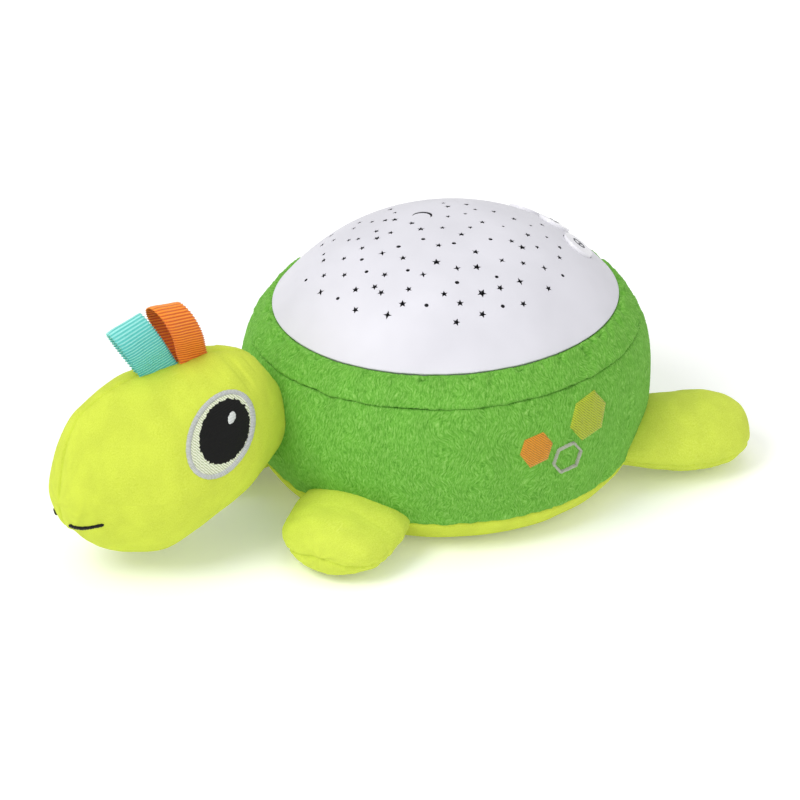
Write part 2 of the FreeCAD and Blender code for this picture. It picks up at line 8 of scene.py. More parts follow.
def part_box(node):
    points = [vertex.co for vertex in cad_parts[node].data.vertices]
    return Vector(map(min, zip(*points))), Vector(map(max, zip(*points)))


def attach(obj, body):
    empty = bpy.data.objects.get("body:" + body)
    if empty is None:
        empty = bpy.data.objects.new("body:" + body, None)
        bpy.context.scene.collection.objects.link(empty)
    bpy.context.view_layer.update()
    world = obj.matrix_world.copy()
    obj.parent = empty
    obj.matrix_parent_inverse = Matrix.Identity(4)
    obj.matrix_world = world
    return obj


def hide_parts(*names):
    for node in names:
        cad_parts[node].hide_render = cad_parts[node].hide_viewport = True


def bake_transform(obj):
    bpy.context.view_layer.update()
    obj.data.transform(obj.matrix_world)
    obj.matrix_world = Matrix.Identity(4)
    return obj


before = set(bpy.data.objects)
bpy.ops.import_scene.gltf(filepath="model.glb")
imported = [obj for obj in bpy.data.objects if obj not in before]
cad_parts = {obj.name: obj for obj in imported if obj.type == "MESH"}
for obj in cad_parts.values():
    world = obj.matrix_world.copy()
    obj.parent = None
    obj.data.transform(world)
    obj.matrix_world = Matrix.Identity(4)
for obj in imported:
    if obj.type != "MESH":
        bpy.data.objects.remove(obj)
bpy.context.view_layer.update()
random.seed(7)

_lo, _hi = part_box("base_housing")
YS = (_lo.y + _hi.y) / 2 * 1000.0            # the dome's centre lies this far behind the frame's origin, mm
RX, RY, RIM, RISE, DPOW = 70.0, 76.0, 82.0, 33.1, 2.75


# ------------------------------------------------------------------ small helpers (all shapes in mm about the dome's centre)
def M(P):
    P = np.asarray(P, float)
    return (P + np.array([0.0, YS, 0.0])) / 1000.0


def pchip(xk, yk, x):
    xk, yk, x = np.asarray(xk, float), np.asarray(yk, float), np.asarray(x, float)
    h = np.diff(xk); d = np.diff(yk) / h
    m = np.zeros(len(xk)); m[0], m[-1] = d[0], d[-1]
    for i in range(1, len(xk) - 1):
        if d[i - 1] * d[i] > 0:
            w1, w2 = 2 * h[i] + h[i - 1], h[i] + 2 * h[i - 1]
            m[i] = (w1 + w2) / (w1 / d[i - 1] + w2 / d[i])
    i = np.clip(np.searchsorted(xk, x) - 1, 0, len(xk) - 2)
    t = (np.clip(x, xk[0], xk[-1]) - xk[i]) / h[i]
    return ((2 * t**3 - 3 * t**2 + 1) * yk[i] + (t**3 - 2 * t**2 + t) * h[i] * m[i]
            + (-2 * t**3 + 3 * t**2) * yk[i + 1] + (t**3 - t**2) * h[i] * m[i + 1])


_G = {}


def noise(P, seed=0):
    """smooth gradient noise, about -1..1, at points P (n, 3)"""
    if seed not in _G:
        rs = np.random.RandomState(1000 + seed)
        g = rs.normal(size=(256, 3)); g /= np.linalg.norm(g, axis=1)[:, None]
        _G[seed] = (np.tile(rs.permutation(256), 3), g)
    perm, g = _G[seed]
    P = np.asarray(P, float)
    I = np.floor(P).astype(int); f = P - I; I &= 255
    u = f * f * f * (f * (f * 6 - 15) + 10)
    out = 0
    for a in (0, 1):
        for b in (0, 1):
            for c in (0, 1):
                k = perm[perm[perm[(I[..., 0] + a) & 255] + ((I[..., 1] + b) & 255)] + ((I[..., 2] + c) & 255)]
                w = (np.where(a, u[..., 0], 1 - u[..., 0]) * np.where(b, u[..., 1], 1 - u[..., 1]) * np.where(c, u[..., 2], 1 - u[..., 2]))
                out = out + w * np.sum(g[k] * (f - np.array([a, b, c])), -1)
    return out * 1.6


def smooth(a, b, x):
    t = np.clip((x - a) / (b - a), 0, 1)
    return t * t * (3 - 2 * t)


def add_mesh(name, V, F, mats, uv=None, midx=None, flat=False):
    me = bpy.data.meshes.new(name)
    me.from_pydata([tuple(v) for v in V], [], [tuple(int(i) for i in f) for f in F])
    for m in (mats if isinstance(mats, (list, tuple)) else [mats]):
        me.materials.append(m)
    me.polygons.foreach_set("use_smooth", [not flat] * len(me.polygons))
    if midx is not None:
        me.polygons.foreach_set("material_index", np.asarray(midx, np.int32))
    if uv is not None:
        lay = me.uv_layers.new(name="pile")
        idx = np.zeros(len(me.loops), np.int32); me.loops.foreach_get("vertex_index", idx)
        if isinstance(uv, tuple):            # per face corner
            lay.data.foreach_set("uv", np.asarray(uv[0], np.float32).ravel())
        else:
            lay.data.foreach_set("uv", np.asarray(uv, np.float32)[idx].ravel())
    me.validate(); me.update()
    ob = bpy.data.objects.new(name, me)
    bpy.context.scene.collection.objects.link(ob)
    return ob


def grid_faces(nu, nv, closed=True):
    """rows nu (open), columns nv (closed ring if closed)"""
    i, j = np.meshgrid(np.arange(nu - 1), np.arange(nv if closed else nv - 1), indexing="ij")
    j2 = (j + 1) % nv
    return np.stack([i * nv + j, i * nv + j2, (i + 1) * nv + j2, (i + 1) * nv + j], -1).reshape(-1, 4)


def grid_uv(U, V, nu, nv, closed=True):
    """face corner uv for a closed ring, so that the last column doesn't run backwards"""
    i, j = np.meshgrid(np.arange(nu - 1), np.arange(nv if closed else nv - 1), indexing="ij")
    def at(ii, jj):
        w = jj >= nv
        uu = U[ii, jj % nv] + np.where(w, U[ii, nv - 1] + (U[ii, nv - 1] - U[ii, nv - 2]) - U[ii, 0], 0)
        return np.stack([uu, V[ii, jj % nv]], -1)
    q = np.stack([at(i, j), at(i, j + 1), at(i + 1, j + 1), at(i + 1, j)], 2)
    return (q.reshape(-1, 2),)


def grid_normals(G, closed=True):
    """outward-ish normals of a grid (rows, cols, 3)"""
    du = np.gradient(G, axis=0)
    if closed:
        dv = (np.roll(G, -1, 1) - np.roll(G, 1, 1)) / 2
    else:
        dv = np.gradient(G, axis=1)
    n = np.cross(dv, du)
    l = np.linalg.norm(n, axis=-1, keepdims=True)
    return n / np.maximum(l, 1e-9)


# ------------------------------------------------------------------ camera at the photograph's place
AZ, EL, DIST, FPX, TA, TB = math.radians(57.0), math.radians(28.65), 1500.0, 2.332 * 1500, -19.72, -45.43
BACK = np.array([math.sin(AZ) * math.cos(EL), -math.cos(AZ) * math.cos(EL), math.sin(EL)])
RIGHT = np.array([math.cos(AZ), math.sin(AZ), 0.0])
UP = np.cross(BACK, RIGHT)
TARGET = TA * RIGHT + TB * UP + np.array([0, 0, RIM])
EYE = TARGET + DIST * BACK
cam_d = bpy.data.cameras.new("camera")
cam_d.sensor_width = 36.0
cam_d.lens = FPX * 36.0 / 800.0
cam_d.clip_end = 50.0
cam = bpy.data.objects.new("camera", cam_d)
bpy.context.scene.collection.objects.link(cam)
R = Matrix((RIGHT, UP, BACK)).transposed().to_4x4()
R.translation = Vector(M(EYE))
cam.matrix_world = R
bpy.context.scene.camera = cam


def ray(px, py):
    d = ((px - 400.0) / FPX) * RIGHT + (-(py - 400.0) / FPX) * UP - BACK
    return EYE, d / np.linalg.norm(d)


# ------------------------------------------------------------------ materials
def mat(name):
    m = bpy.data.materials.new(name)
    m.use_nodes = True
    nt = m.node_tree
    for n in list(nt.nodes):
        nt.nodes.remove(n)
    out = nt.nodes.new("ShaderNodeOutputMaterial")
    p = nt.nodes.new("ShaderNodeBsdfPrincipled")
    nt.links.new(p.outputs[0], out.inputs[0])
    return m, nt, p


def lin(c):
    return tuple(((v / 255.0) / 12.92 if v / 255.0 <= 0.04045 else ((v / 255.0 + 0.055) / 1.055) ** 2.4) for v in c) + (1.0,)


def node(nt, kind, **kw):
    n = nt.nodes.new(kind)
    for k, v in kw.items():
        setattr(n, k, v)
    return n


def ramp(nt, fac, stops):
    r = nt.nodes.new("ShaderNodeValToRGB")
    el = r.color_ramp.elements
    while len(el) < len(stops):
        el.new(0.5)
    for e, (p, c) in zip(el, stops):
        e.position = p; e.color = c
    nt.links.new(fac, r.inputs[0])
    return r.outputs[0]


def noise_tex(nt, vec, scale, detail=4.0, rough=0.55, dist=0.0):
    n = nt.nodes.new("ShaderNodeTexNoise")
    n.inputs["Scale"].default_value = scale
    n.inputs["Detail"].default_value = detail
    n.inputs["Roughness"].default_value = rough
    n.inputs["Distortion"].default_value = dist
    if vec is not None:
        nt.links.new(vec, n.inputs["Vector"])
    return n.outputs["Fac"]


def mathn(nt, op, a, b=None):
    n = nt.nodes.new("ShaderNodeMath"); n.operation = op
    for i, v in enumerate((a, b)):
        if v is None:
            continue
        if isinstance(v, (int, float)):
            n.inputs[i].default_value = v
        else:
            nt.links.new(v, n.inputs[i])
    return n.outputs[0]


def mixc(nt, fac, a, b, blend="MIX"):
    n = nt.nodes.new("ShaderNodeMix"); n.data_type = "RGBA"; n.blend_type = blend
    ins = {"f": n.inputs[0], "a": n.inputs[6], "b": n.inputs[7]}
    for k, v in (("f", fac), ("a", a), ("b", b)):
        if isinstance(v, (int, float)):
            ins[k].default_value = v
        elif isinstance(v, tuple):
            ins[k].default_value = v
        else:
            nt.links.new(v, ins[k])
    return n.outputs[2]


def scaled(nt, src, sx, sy, sz, rot=0.0):
    mp = nt.nodes.new("ShaderNodeMapping")
    mp.inputs["Scale"].default_value = (sx, sy, sz)
    mp.inputs["Rotation"].default_value = (0, 0, rot)
    nt.links.new(src, mp.inputs["Vector"])
    return mp.outputs[0]


def bump(nt, p, height, strength, dist):
    b = nt.nodes.new("ShaderNodeBump")
    b.inputs["Strength"].default_value = strength
    b.inputs["Distance"].default_value = dist
    nt.links.new(height, b.inputs["Height"])
    nt.links.new(b.outputs[0], p.inputs["Normal"])


def plush_mat(name, dark, mid, light, streak=(2.4, 0.42), rot=0.12, sheen=0.35, bmp=0.6, contrast=1.0):
    """short pile: streaks along the lie of the pile (uv 'pile', mm); the colour follows the bump's streak height,
    darker in its low streaks as painted shade of the pile's roots, with random tone
    """
    m, nt, p = mat(name)
    uv = node(nt, "ShaderNodeUVMap", uv_map="pile").outputs[0]
    # the lie of the pile wanders
    wob = noise_tex(nt, scaled(nt, uv, 0.055, 0.055, 1), 1.0, 2.0)
    wob2 = mathn(nt, "MULTIPLY", mathn(nt, "SUBTRACT", wob, 0.5), 16.0)
    sep = node(nt, "ShaderNodeSeparateXYZ"); nt.links.new(uv, sep.inputs[0])
    com = node(nt, "ShaderNodeCombineXYZ")
    nt.links.new(mathn(nt, "ADD", sep.outputs[0], wob2), com.inputs[0])
    nt.links.new(sep.outputs[1], com.inputs[1])
    a = noise_tex(nt, scaled(nt, com.outputs[0], streak[0], streak[1], 1, rot), 1.0, 3.0, 0.6, 0.3)
    b = noise_tex(nt, scaled(nt, com.outputs[0], streak[0] * 2.3, streak[1] * 2.6, 1, -rot), 1.0, 2.0, 0.6, 0.2)
    c = noise_tex(nt, scaled(nt, uv, 0.10, 0.07, 1), 1.0, 3.0, 0.55)
    h = mathn(nt, "ADD", mathn(nt, "MULTIPLY", a, 0.62), mathn(nt, "MULTIPLY", b, 0.38))
    # the colour ramp runs on the same streak height h as the bump: its dark end in the low streaks is painted shade,
    # the rest random tone
    lo, hi = 0.5 - 0.17 / contrast, 0.5 + 0.17 / contrast
    col = ramp(nt, h, [(max(lo, 0.02), lin(dark)), (0.5, lin(mid)), (min(hi, 0.98), lin(light))])
    col = mixc(nt, 0.15, col, ramp(nt, c, [(0.35, lin(tuple(v * 0.86 for v in mid))), (0.65, lin(tuple(min(255, v * 1.12) for v in mid)))]), "MIX")
    nt.links.new(col, p.inputs["Base Color"])
    p.inputs["Roughness"].default_value = 0.92
    p.inputs["Specular IOR Level"].default_value = 0.18
    p.inputs["Sheen Weight"].default_value = sheen
    p.inputs["Sheen Roughness"].default_value = 0.45
    p.inputs["Sheen Tint"].default_value = lin(light)
    bump(nt, p, h, bmp, 0.0006)
    return m


GREEN = plush_mat("green_plush", (62, 126, 28), (106, 172, 62), (154, 206, 106), streak=(1.5, 0.34), rot=0.30, sheen=0.22, bmp=0.55, contrast=0.95)
LIME = plush_mat("lime_velour", (180, 198, 48), (204, 218, 74), (218, 230, 102), streak=(2.6, 1.3), sheen=0.22, bmp=0.35, contrast=0.7)
LIMEF = plush_mat("lime_velour_flipper", (182, 200, 54), (206, 221, 80), (222, 234, 112), streak=(2.4, 1.1), sheen=0.22, bmp=0.4, contrast=0.7)


def plastic_mat(name, col, rough=0.38, spec=0.5, grain=0.0, coat=0.0, mottle=0.015):
    m, nt, p = mat(name)
    tc = node(nt, "ShaderNodeTexCoord").outputs["Object"]
    n1 = noise_tex(nt, tc, 35.0, 2.0)
    c0 = tuple(v * (1 - mottle) for v in col); c1 = tuple(min(255, v * (1 + mottle)) for v in col)
    nt.links.new(ramp(nt, n1, [(0.35, lin(c0)), (0.65, lin(c1))]), p.inputs["Base Color"])
    r = noise_tex(nt, tc, 160.0, 3.0)
    nt.links.new(mathn(nt, "ADD", mathn(nt, "MULTIPLY", r, 0.10), rough - 0.05), p.inputs["Roughness"])
    p.inputs["Specular IOR Level"].default_value = spec
    if coat:
        p.inputs["Coat Weight"].default_value = coat
        p.inputs["Coat Roughness"].default_value = 0.15
    if grain:
        bump(nt, p, noise_tex(nt, tc, 2600.0, 2.0), grain, 0.0001)
    return m


DOME = plastic_mat("dome_white", (216, 215, 222), rough=0.42, spec=0.35, grain=0.03)
# dark grey on the shell's inner faces, hole walls, inner skirt and screw posts: painted shade for the dark inside of
# the dome, seen through the holes
DOME_SHADE_INSIDE = plastic_mat("dome_painted_shade_inside", (52, 52, 56), rough=0.7, spec=0.2)
BUTTON = plastic_mat("button_white", (236, 235, 240), rough=0.26, spec=0.5)
ICON = plastic_mat("icon_ink", (70, 72, 80), rough=0.5, spec=0.3)
HOUSING = plastic_mat("housing_grey", (196, 196, 200), rough=0.5, grain=0.10)
DOOR = plastic_mat("door_grey", (206, 206, 210), rough=0.48, grain=0.15)
BLACKP = plastic_mat("switch_black", (22, 22, 24), rough=0.45)


def metal_mat(name, col, rough=0.3):
    m, nt, p = mat(name)
    tc = node(nt, "ShaderNodeTexCoord").outputs["Object"]
    n = noise_tex(nt, scaled(nt, tc, 900, 900, 120), 1.0, 3.0)
    nt.links.new(ramp(nt, n, [(0.3, lin(tuple(v * 0.86 for v in col))), (0.7, lin(col))]), p.inputs["Base Color"])
    p.inputs["Metallic"].default_value = 1.0
    nt.links.new(mathn(nt, "ADD", mathn(nt, "MULTIPLY", n, 0.2), rough - 0.08), p.inputs["Roughness"])
    bump(nt, p, n, 0.15, 0.00005)
    return m


STEEL = metal_mat("screw_steel", (190, 190, 194))
NICKEL = metal_mat("contact_nickel", (205, 203, 198), 0.24)


def board_mat():
    m, nt, p = mat("board_green")
    tc = node(nt, "ShaderNodeTexCoord").outputs["Object"]
    br = node(nt, "ShaderNodeTexBrick")
    nt.links.new(scaled(nt, tc, 420, 420, 420), br.inputs["Vector"])
    br.inputs["Color1"].default_value = lin((22, 92, 46)); br.inputs["Color2"].default_value = lin((18, 80, 40))
    br.inputs["Mortar"].default_value = lin((40, 122, 64)); br.inputs["Mortar Size"].default_value = 0.03
    nt.links.new(br.outputs[0], p.inputs["Base Color"])
    p.inputs["Roughness"].default_value = 0.35
    return m


PCB = board_mat()


def led_mat(name, col):
    m, nt, p = mat(name)
    tc = node(nt, "ShaderNodeTexCoord").outputs["Object"]
    n = noise_tex(nt, tc, 300.0, 1.0)
    nt.links.new(ramp(nt, n, [(0.3, lin(tuple(v * 0.8 for v in col))), (0.7, lin(col))]), p.inputs["Base Color"])
    p.inputs["Roughness"].default_value = 0.12
    p.inputs["Transmission Weight"].default_value = 0.35
    return m


def thread_mat(name, a, b, period=0.42, rot=0.0, rough=0.55, spec=0.45, across="x", bmp=0.8, soft=0.25):
    """satin stitches: parallel threads over the uv 'pile' (mm)"""
    m, nt, p = mat(name)
    uv = node(nt, "ShaderNodeUVMap", uv_map="pile").outputs[0]
    v = scaled(nt, uv, 1.0 / period, 1.0 / period, 1.0, rot)
    sep = node(nt, "ShaderNodeSeparateXYZ"); nt.links.new(v, sep.inputs[0])
    x = sep.outputs[0] if across == "x" else sep.outputs[1]
    jit = noise_tex(nt, scaled(nt, uv, 0.9 / period, 0.12 / period, 1.0, rot), 1.0, 2.0)
    x = mathn(nt, "ADD", x, mathn(nt, "MULTIPLY", jit, 1.1))
    w = mathn(nt, "ABSOLUTE", mathn(nt, "SUBTRACT", mathn(nt, "FRACT", x), 0.5))
    w = mathn(nt, "MULTIPLY", w, 2.0)                      # 1 at the gap, 0 on the thread's crown
    h = mathn(nt, "SUBTRACT", 1.0, mathn(nt, "MULTIPLY", w, w))
    lng = noise_tex(nt, scaled(nt, uv, 2.0 / period, 0.25 / period, 1.0, rot), 1.0, 3.0)
    # colour follows the thread crown h: darker in the gaps between threads as painted shade, with random tone along
    # them from lng
    tone = mathn(nt, "ADD", mathn(nt, "MULTIPLY", h, 0.6), mathn(nt, "MULTIPLY", lng, 0.5))
    nt.links.new(ramp(nt, tone, [(0.15, lin(a)), (0.85, lin(b))]), p.inputs["Base Color"])
    p.inputs["Roughness"].default_value = rough
    p.inputs["Specular IOR Level"].default_value = spec
    p.inputs["Sheen Weight"].default_value = soft
    p.inputs["Sheen Roughness"].default_value = 0.3
    bump(nt, p, h, bmp, 0.0002)
    return m


def ribbon_mat(name, dark, mid, light):
    m, nt, p = mat(name)
    uv = node(nt, "ShaderNodeUVMap", uv_map="pile").outputs[0]
    sep = node(nt, "ShaderNodeSeparateXYZ"); nt.links.new(uv, sep.inputs[0])
    rib = mathn(nt, "SINE", mathn(nt, "MULTIPLY", sep.outputs[1], 2 * math.pi / 1.45))
    thr = mathn(nt, "SINE", mathn(nt, "MULTIPLY", sep.outputs[0], 2 * math.pi / 0.36))
    edge = mathn(nt, "SUBTRACT", mathn(nt, "ABSOLUTE", sep.outputs[0]), 6.9)
    # colour follows the ribs: lighter on the rib crests, darker in the troughs as painted shade, with random tone from
    # the noise
    body = mathn(nt, "ADD", mathn(nt, "MULTIPLY", rib, 0.32), 0.5)
    fine = mathn(nt, "MULTIPLY", thr, 0.05)
    tone = mathn(nt, "ADD", body, mathn(nt, "ADD", fine, mathn(nt, "MULTIPLY", mathn(nt, "SUBTRACT", noise_tex(nt, scaled(nt, uv, 3.0, 1.2, 1), 1.0, 3.0), 0.5), 0.35)))
    nt.links.new(ramp(nt, tone, [(0.12, lin(dark)), (0.5, lin(mid)), (0.9, lin(light))]), p.inputs["Base Color"])
    p.inputs["Roughness"].default_value = 0.42
    p.inputs["Specular IOR Level"].default_value = 0.5
    p.inputs["Sheen Weight"].default_value = 0.2
    p.inputs["Sheen Roughness"].default_value = 0.3
    bump(nt, p, mathn(nt, "ADD", mathn(nt, "MULTIPLY", thr, 0.35), mathn(nt, "MULTIPLY", rib, 0.5)), 0.5, 0.00012)
    return m


TEAL = ribbon_mat("teal_grosgrain", (62, 172, 164), (104, 208, 199), (168, 236, 228))
ORANGE = ribbon_mat("orange_grosgrain", (190, 76, 0), (248, 122, 4), (255, 172, 56))


# ------------------------------------------------------------------ CAD nodes that stay: their finishes
CAD_FINISH = {
    "base_housing": HOUSING, "dome_screws": STEEL, "switch_bodies": BLACKP, "button_board": PCB, "button_board_screws": STEEL,
    "battery_door": DOOR, "door_screw": STEEL, "battery_cells": plastic_mat("cell_jacket", (34, 40, 48), 0.3, mottle=0.08),
    "battery_contacts": NICKEL, "battery_springs": NICKEL, "led_pedestal": HOUSING, "led_board": PCB,
    "led_blue": led_mat("led_blue", (70, 110, 240)), "led_green": led_mat("led_green", (70, 215, 100)), "led_amber": led_mat("led_amber", (250, 160, 40)),
    "light_engine_screws": STEEL, "battery_leads": plastic_mat("lead_wire", (178, 24, 26), 0.45, mottle=0.05),
    "button_cable": plastic_mat("cable_wire", (226, 224, 214), 0.45, mottle=0.04),
    "collar_elastic": None,
    "power_button_cap": BUTTON, "colour_button_cap": BUTTON, "timer_button_cap": BUTTON,
    "power_switch_plunger": BLACKP, "colour_switch_plunger": BLACKP, "timer_switch_plunger": BLACKP}


def weave_mat(name, a, b, period=0.6):
    m, nt, p = mat(name)
    tc = node(nt, "ShaderNodeTexCoord").outputs["Object"]
    k = 2 * math.pi / (period / 1000.0)
    sep = node(nt, "ShaderNodeSeparateXYZ"); nt.links.new(tc, sep.inputs[0])
    s = [mathn(nt, "SINE", mathn(nt, "MULTIPLY", sep.outputs[i], k)) for i in range(3)]
    h = mathn(nt, "ADD", mathn(nt, "MULTIPLY", mathn(nt, "MULTIPLY", mathn(nt, "ADD", s[0], s[1]), s[2]), 0.2), 0.5)
    h = mathn(nt, "ADD", h, mathn(nt, "MULTIPLY", noise_tex(nt, tc, 400.0, 2.0), 0.15))
    # colour follows the weave height h: darker in the hollows of the weave as painted shade, with random tone from the
    # noise
    nt.links.new(ramp(nt, h, [(0.2, lin(a)), (0.8, lin(b))]), p.inputs["Base Color"])
    p.inputs["Roughness"].default_value = 0.85
    p.inputs["Specular IOR Level"].default_value = 0.2
    bump(nt, p, h, 0.6, 0.0002)
    return m


CAD_FINISH["collar_elastic"] = weave_mat("elastic_web", (190, 190, 190), (232, 232, 230))
BINDING = weave_mat("binding_tape", (150, 168, 40), (190, 205, 70), 0.9)
for n, m in CAD_FINISH.items():
    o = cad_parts[n]
    o.data.materials.clear()
    o.data.materials.append(m)
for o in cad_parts.values():
    o.data.polygons.foreach_set("use_smooth", [False] * len(o.data.polygons))
for n in ("power_button_cap", "colour_button_cap", "timer_button_cap"):
    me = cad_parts[n].data
    me.polygons.foreach_set("use_smooth", [True] * len(me.polygons))
    me.set_sharp_from_angle(angle=math.radians(35))


# ------------------------------------------------------------------ dome with real star, cross and dot holes
def dome_z(x, y):
    r = np.hypot(np.asarray(x) / RX, np.asarray(y) / RY)
    return RIM + RISE * (1 - np.minimum(r, 1.2) ** DPOW)


BY = 56.0
NY = RISE * DPOW * (BY / RY) ** (DPOW - 1) / RY
NB = np.array([0.0, NY, 1.0]) / math.hypot(NY, 1.0)
TB2 = np.array([0.0, NB[2], -NB[1]])
S0 = np.array([0.0, BY, float(dome_z(0, BY))])
BOSS = [(42.0, 44.0), (-42.0, 44.0), (42.0, -44.0), (-42.0, -44.0)]
HOLES = [
    (-21.6, 12.8, 2.9, 1), (-14.7, 20.2, 4, 1), (-16.2, 11.5, 4.5, 1), (-33.5, -6.7, 5, 1), (-7.4, 19.7, 2.6, 1), (-2.6, 26.2, 3.3, 1),
    (-26.1, -9.1, 2.5, 1), (-5, 13, 2.3, 0), (-6.4, 5, 2.6, 1), (6.1, 30.7, 4.1, 1), (-18.6, -14.1, 5.3, 1), (-21.7, -16.9, 4.1, 1),
    (-26.5, -20.5, 2.9, 1), (5.6, 14.6, 3.7, 1), (-33.7, -22.3, 3.3, 1), (-9.9, -11.1, 4.2, 1), (9.8, 42.7, 3.3, 1), (12.2, 35.2, 2, 0),
    (12, 21, 1.6, 0), (7.5, 7.1, 2.7, 1), (1.6, -3.1, 3.2, 1), (-30.2, -27.4, 2.6, 1), (-2.6, -11.3, 5, 1), (-15.4, -25.4, 3.4, 1),
    (-8.8, -22.5, 3.5, 1), (11, 0.3, 4.4, 1), (20.1, 28.1, 4.3, 1), (-42.1, -31.4, 5.8, 1), (21, 37.4, 2.3, 0), (-9.7, -28.8, 4.5, 1),
    (-17.4, -33.3, 2.9, 1), (5.5, -15.4, 3.8, 0), (19.7, 9.2, 3.4, 0), (-31.9, -36.5, 2.6, 1), (-21.4, -35.5, 2.7, 1), (23.5, 17.4, 3.7, 1),
    (15.6, -6.6, 3.6, 0), (-37.2, -39.2, 4.3, 1), (13.5, -12.9, 3.9, 1), (3.5, -26.5, 4.1, 0), (28.5, 27.1, 2.8, 1), (28.2, 19.6, 5.8, 1),
    (27.1, 39.9, 3.5, 1), (-8.9, -36.7, 3.5, 1), (25.1, -2, 4.7, 1), (2.1, -33.7, 3.9, 2), (-25.8, -45.4, 2.5, 1), (33.9, 35, 3.6, 1),
    (11.5, -29.5, 4.2, 1), (-10.7, -44.7, 3.4, 1), (-2, -41.3, 3.3, 0), (-21.1, -48.4, 3.8, 1), (33.5, 5.6, 3.2, 2), (22.5, -20, 6.6, 1),
    (36.9, 14.1, 3.6, 1), (33.1, -6.8, 6, 1), (40.1, 22.8, 3.5, 2), (30, -14.6, 3.7, 2), (19.1, -32, 2.9, 0), (6.2, -44.2, 3.2, 0),
    (25.1, -28.3, 3.5, 2), (14, -40.2, 3.9, 1), (-1.4, -50.4, 3.7, 1), (-11.4, -54.3, 3.7, 1), (43.3, 30.1, 3, 0), (40.4, -1.7, 2.8, 0),
    (-19.9, -58, 3.2, 0), (44.8, 7.1, 4.6, 2), (36.1, -18.7, 3.5, 0), (15.8, -46.3, 4.2, 1), (45.2, -3.2, 4.7, 1), (49.1, 18.7, 4.1, 1),
    (27.2, -36.9, 3.9, 1), (9.9, -52, 4.6, 1), (-4.8, -60.1, 4.4, 2), (20.2, -46, 4.4, 1), (44.5, -11.9, 7.2, 1), (37.7, -26.2, 4.1, 1),
    (6.1, -58.4, 3, 0), (44.1, -22.5, 4.4, 1), (30.7, -42.2, 5.1, 1), (53.3, 3, 4.4, 1), (37.5, -34.8, 3.4, 0), (51.9, -6.4, 3.3, 0),
    (17.4, -56.9, 4.6, 1), (51.5, -16.3, 4.9, 1), (29.9, -49.1, 4.8, 2), (49.2, -27.7, 4.7, 1), (-33.7, 22.3, 3.3, 1), (-42.1, 31.4, 5.8, 1),
    (-21.4, 35.5, 2.7, 1), (-37.2, 39.2, 4.3, 1), (-36.9, 14.1, 3.6, 1), (-40.4, 1.7, 2.8, 1), (-44.8, -7.1, 4.6, 1), (-49.1, -18.7, 4.1, 1),
    (-49.1, 18.7, 4.1, 1), (-53.3, -3, 4.4, 1), (-51.9, 6.4, 3.3, 1)]


def star(cx, cy, a, kind, rot):
    """outline of one light hole on the dome, area a; points counter-clockwise as seen from above"""
    if kind == 0:
        r, n = math.sqrt(a / math.pi), 14
        rr = [r] * n
    elif kind == 1:
        R_ = math.sqrt(a / 1.36); n = 10
        rr = [R_, 0.46 * R_] * 5
    else:
        R_ = math.sqrt(a / 1.02); n = 8
        rr = [R_, 0.36 * R_] * 4
    ang = rot + 2 * math.pi * np.arange(n) / n
    rr = np.array(rr)
    # lies in the dome's surface: stretch along the slope shrinks in plan
    g = np.array([cx / RX**2, cy / RY**2]); gl = np.linalg.norm(g)
    P = np.stack([rr * np.cos(ang), rr * np.sin(ang)], 1)
    if gl > 1e-9:
        g /= gl
        e = 0.5
        sl = (float(dome_z(cx + g[0] * e, cy + g[1] * e)) - float(dome_z(cx - g[0] * e, cy - g[1] * e))) / (2 * e)
        k = 1 / math.hypot(1, sl)
        P = P + np.outer(P @ g, g) * (k - 1)
    if kind == 0:
        Q = P
    else:
        Q = P
    return Q + np.array([cx, cy])


def crescent():
    c1, r1 = np.array([-13.8, -3.2]), 4.3
    c2, r2 = c1 + np.array([0.9, -1.2]), 4.0
    d = np.linalg.norm(c2 - c1); u = (c2 - c1) / d
    a = (d * d + r1 * r1 - r2 * r2) / (2 * d); h = math.sqrt(r1 * r1 - a * a)
    v = np.array([-u[1], u[0]])
    t1 = math.atan2(h, a); t2 = math.atan2(h, a - d)
    base = math.atan2(u[1], u[0])
    A = [c1 + r1 * np.array([math.cos(base + t), math.sin(base + t)]) for t in np.linspace(t1, 2 * math.pi - t1, 22)]
    B = [c2 + r2 * np.array([math.cos(base + t), math.sin(base + t)]) for t in np.linspace(2 * math.pi - t2, t2, 20)[1:-1]]
    return np.array(A + B)


def well(x0, rad, off):
    """outline where a button's well meets the dome's surface (off = vertical offset of that surface)"""
    out = []
    for ph in np.linspace(0, 2 * math.pi, 48, endpoint=False):
        base = S0 + np.array([x0, 0, 0]) + rad * (math.cos(ph) * np.array([1.0, 0, 0]) + math.sin(ph) * TB2)
        lo_, hi_ = -20.0, 12.0
        for _ in range(40):
            mid = (lo_ + hi_) / 2
            p = base + NB * mid
            if p[2] > float(dome_z(p[0], p[1])) + off:
                hi_ = mid
            else:
                lo_ = mid
        p = base + NB * lo_
        out.append(p[:2])
    return np.array(out)


def area2(P):
    return 0.5 * np.sum(P[:, 0] * np.roll(P[:, 1], -1) - np.roll(P[:, 0], -1) * P[:, 1])


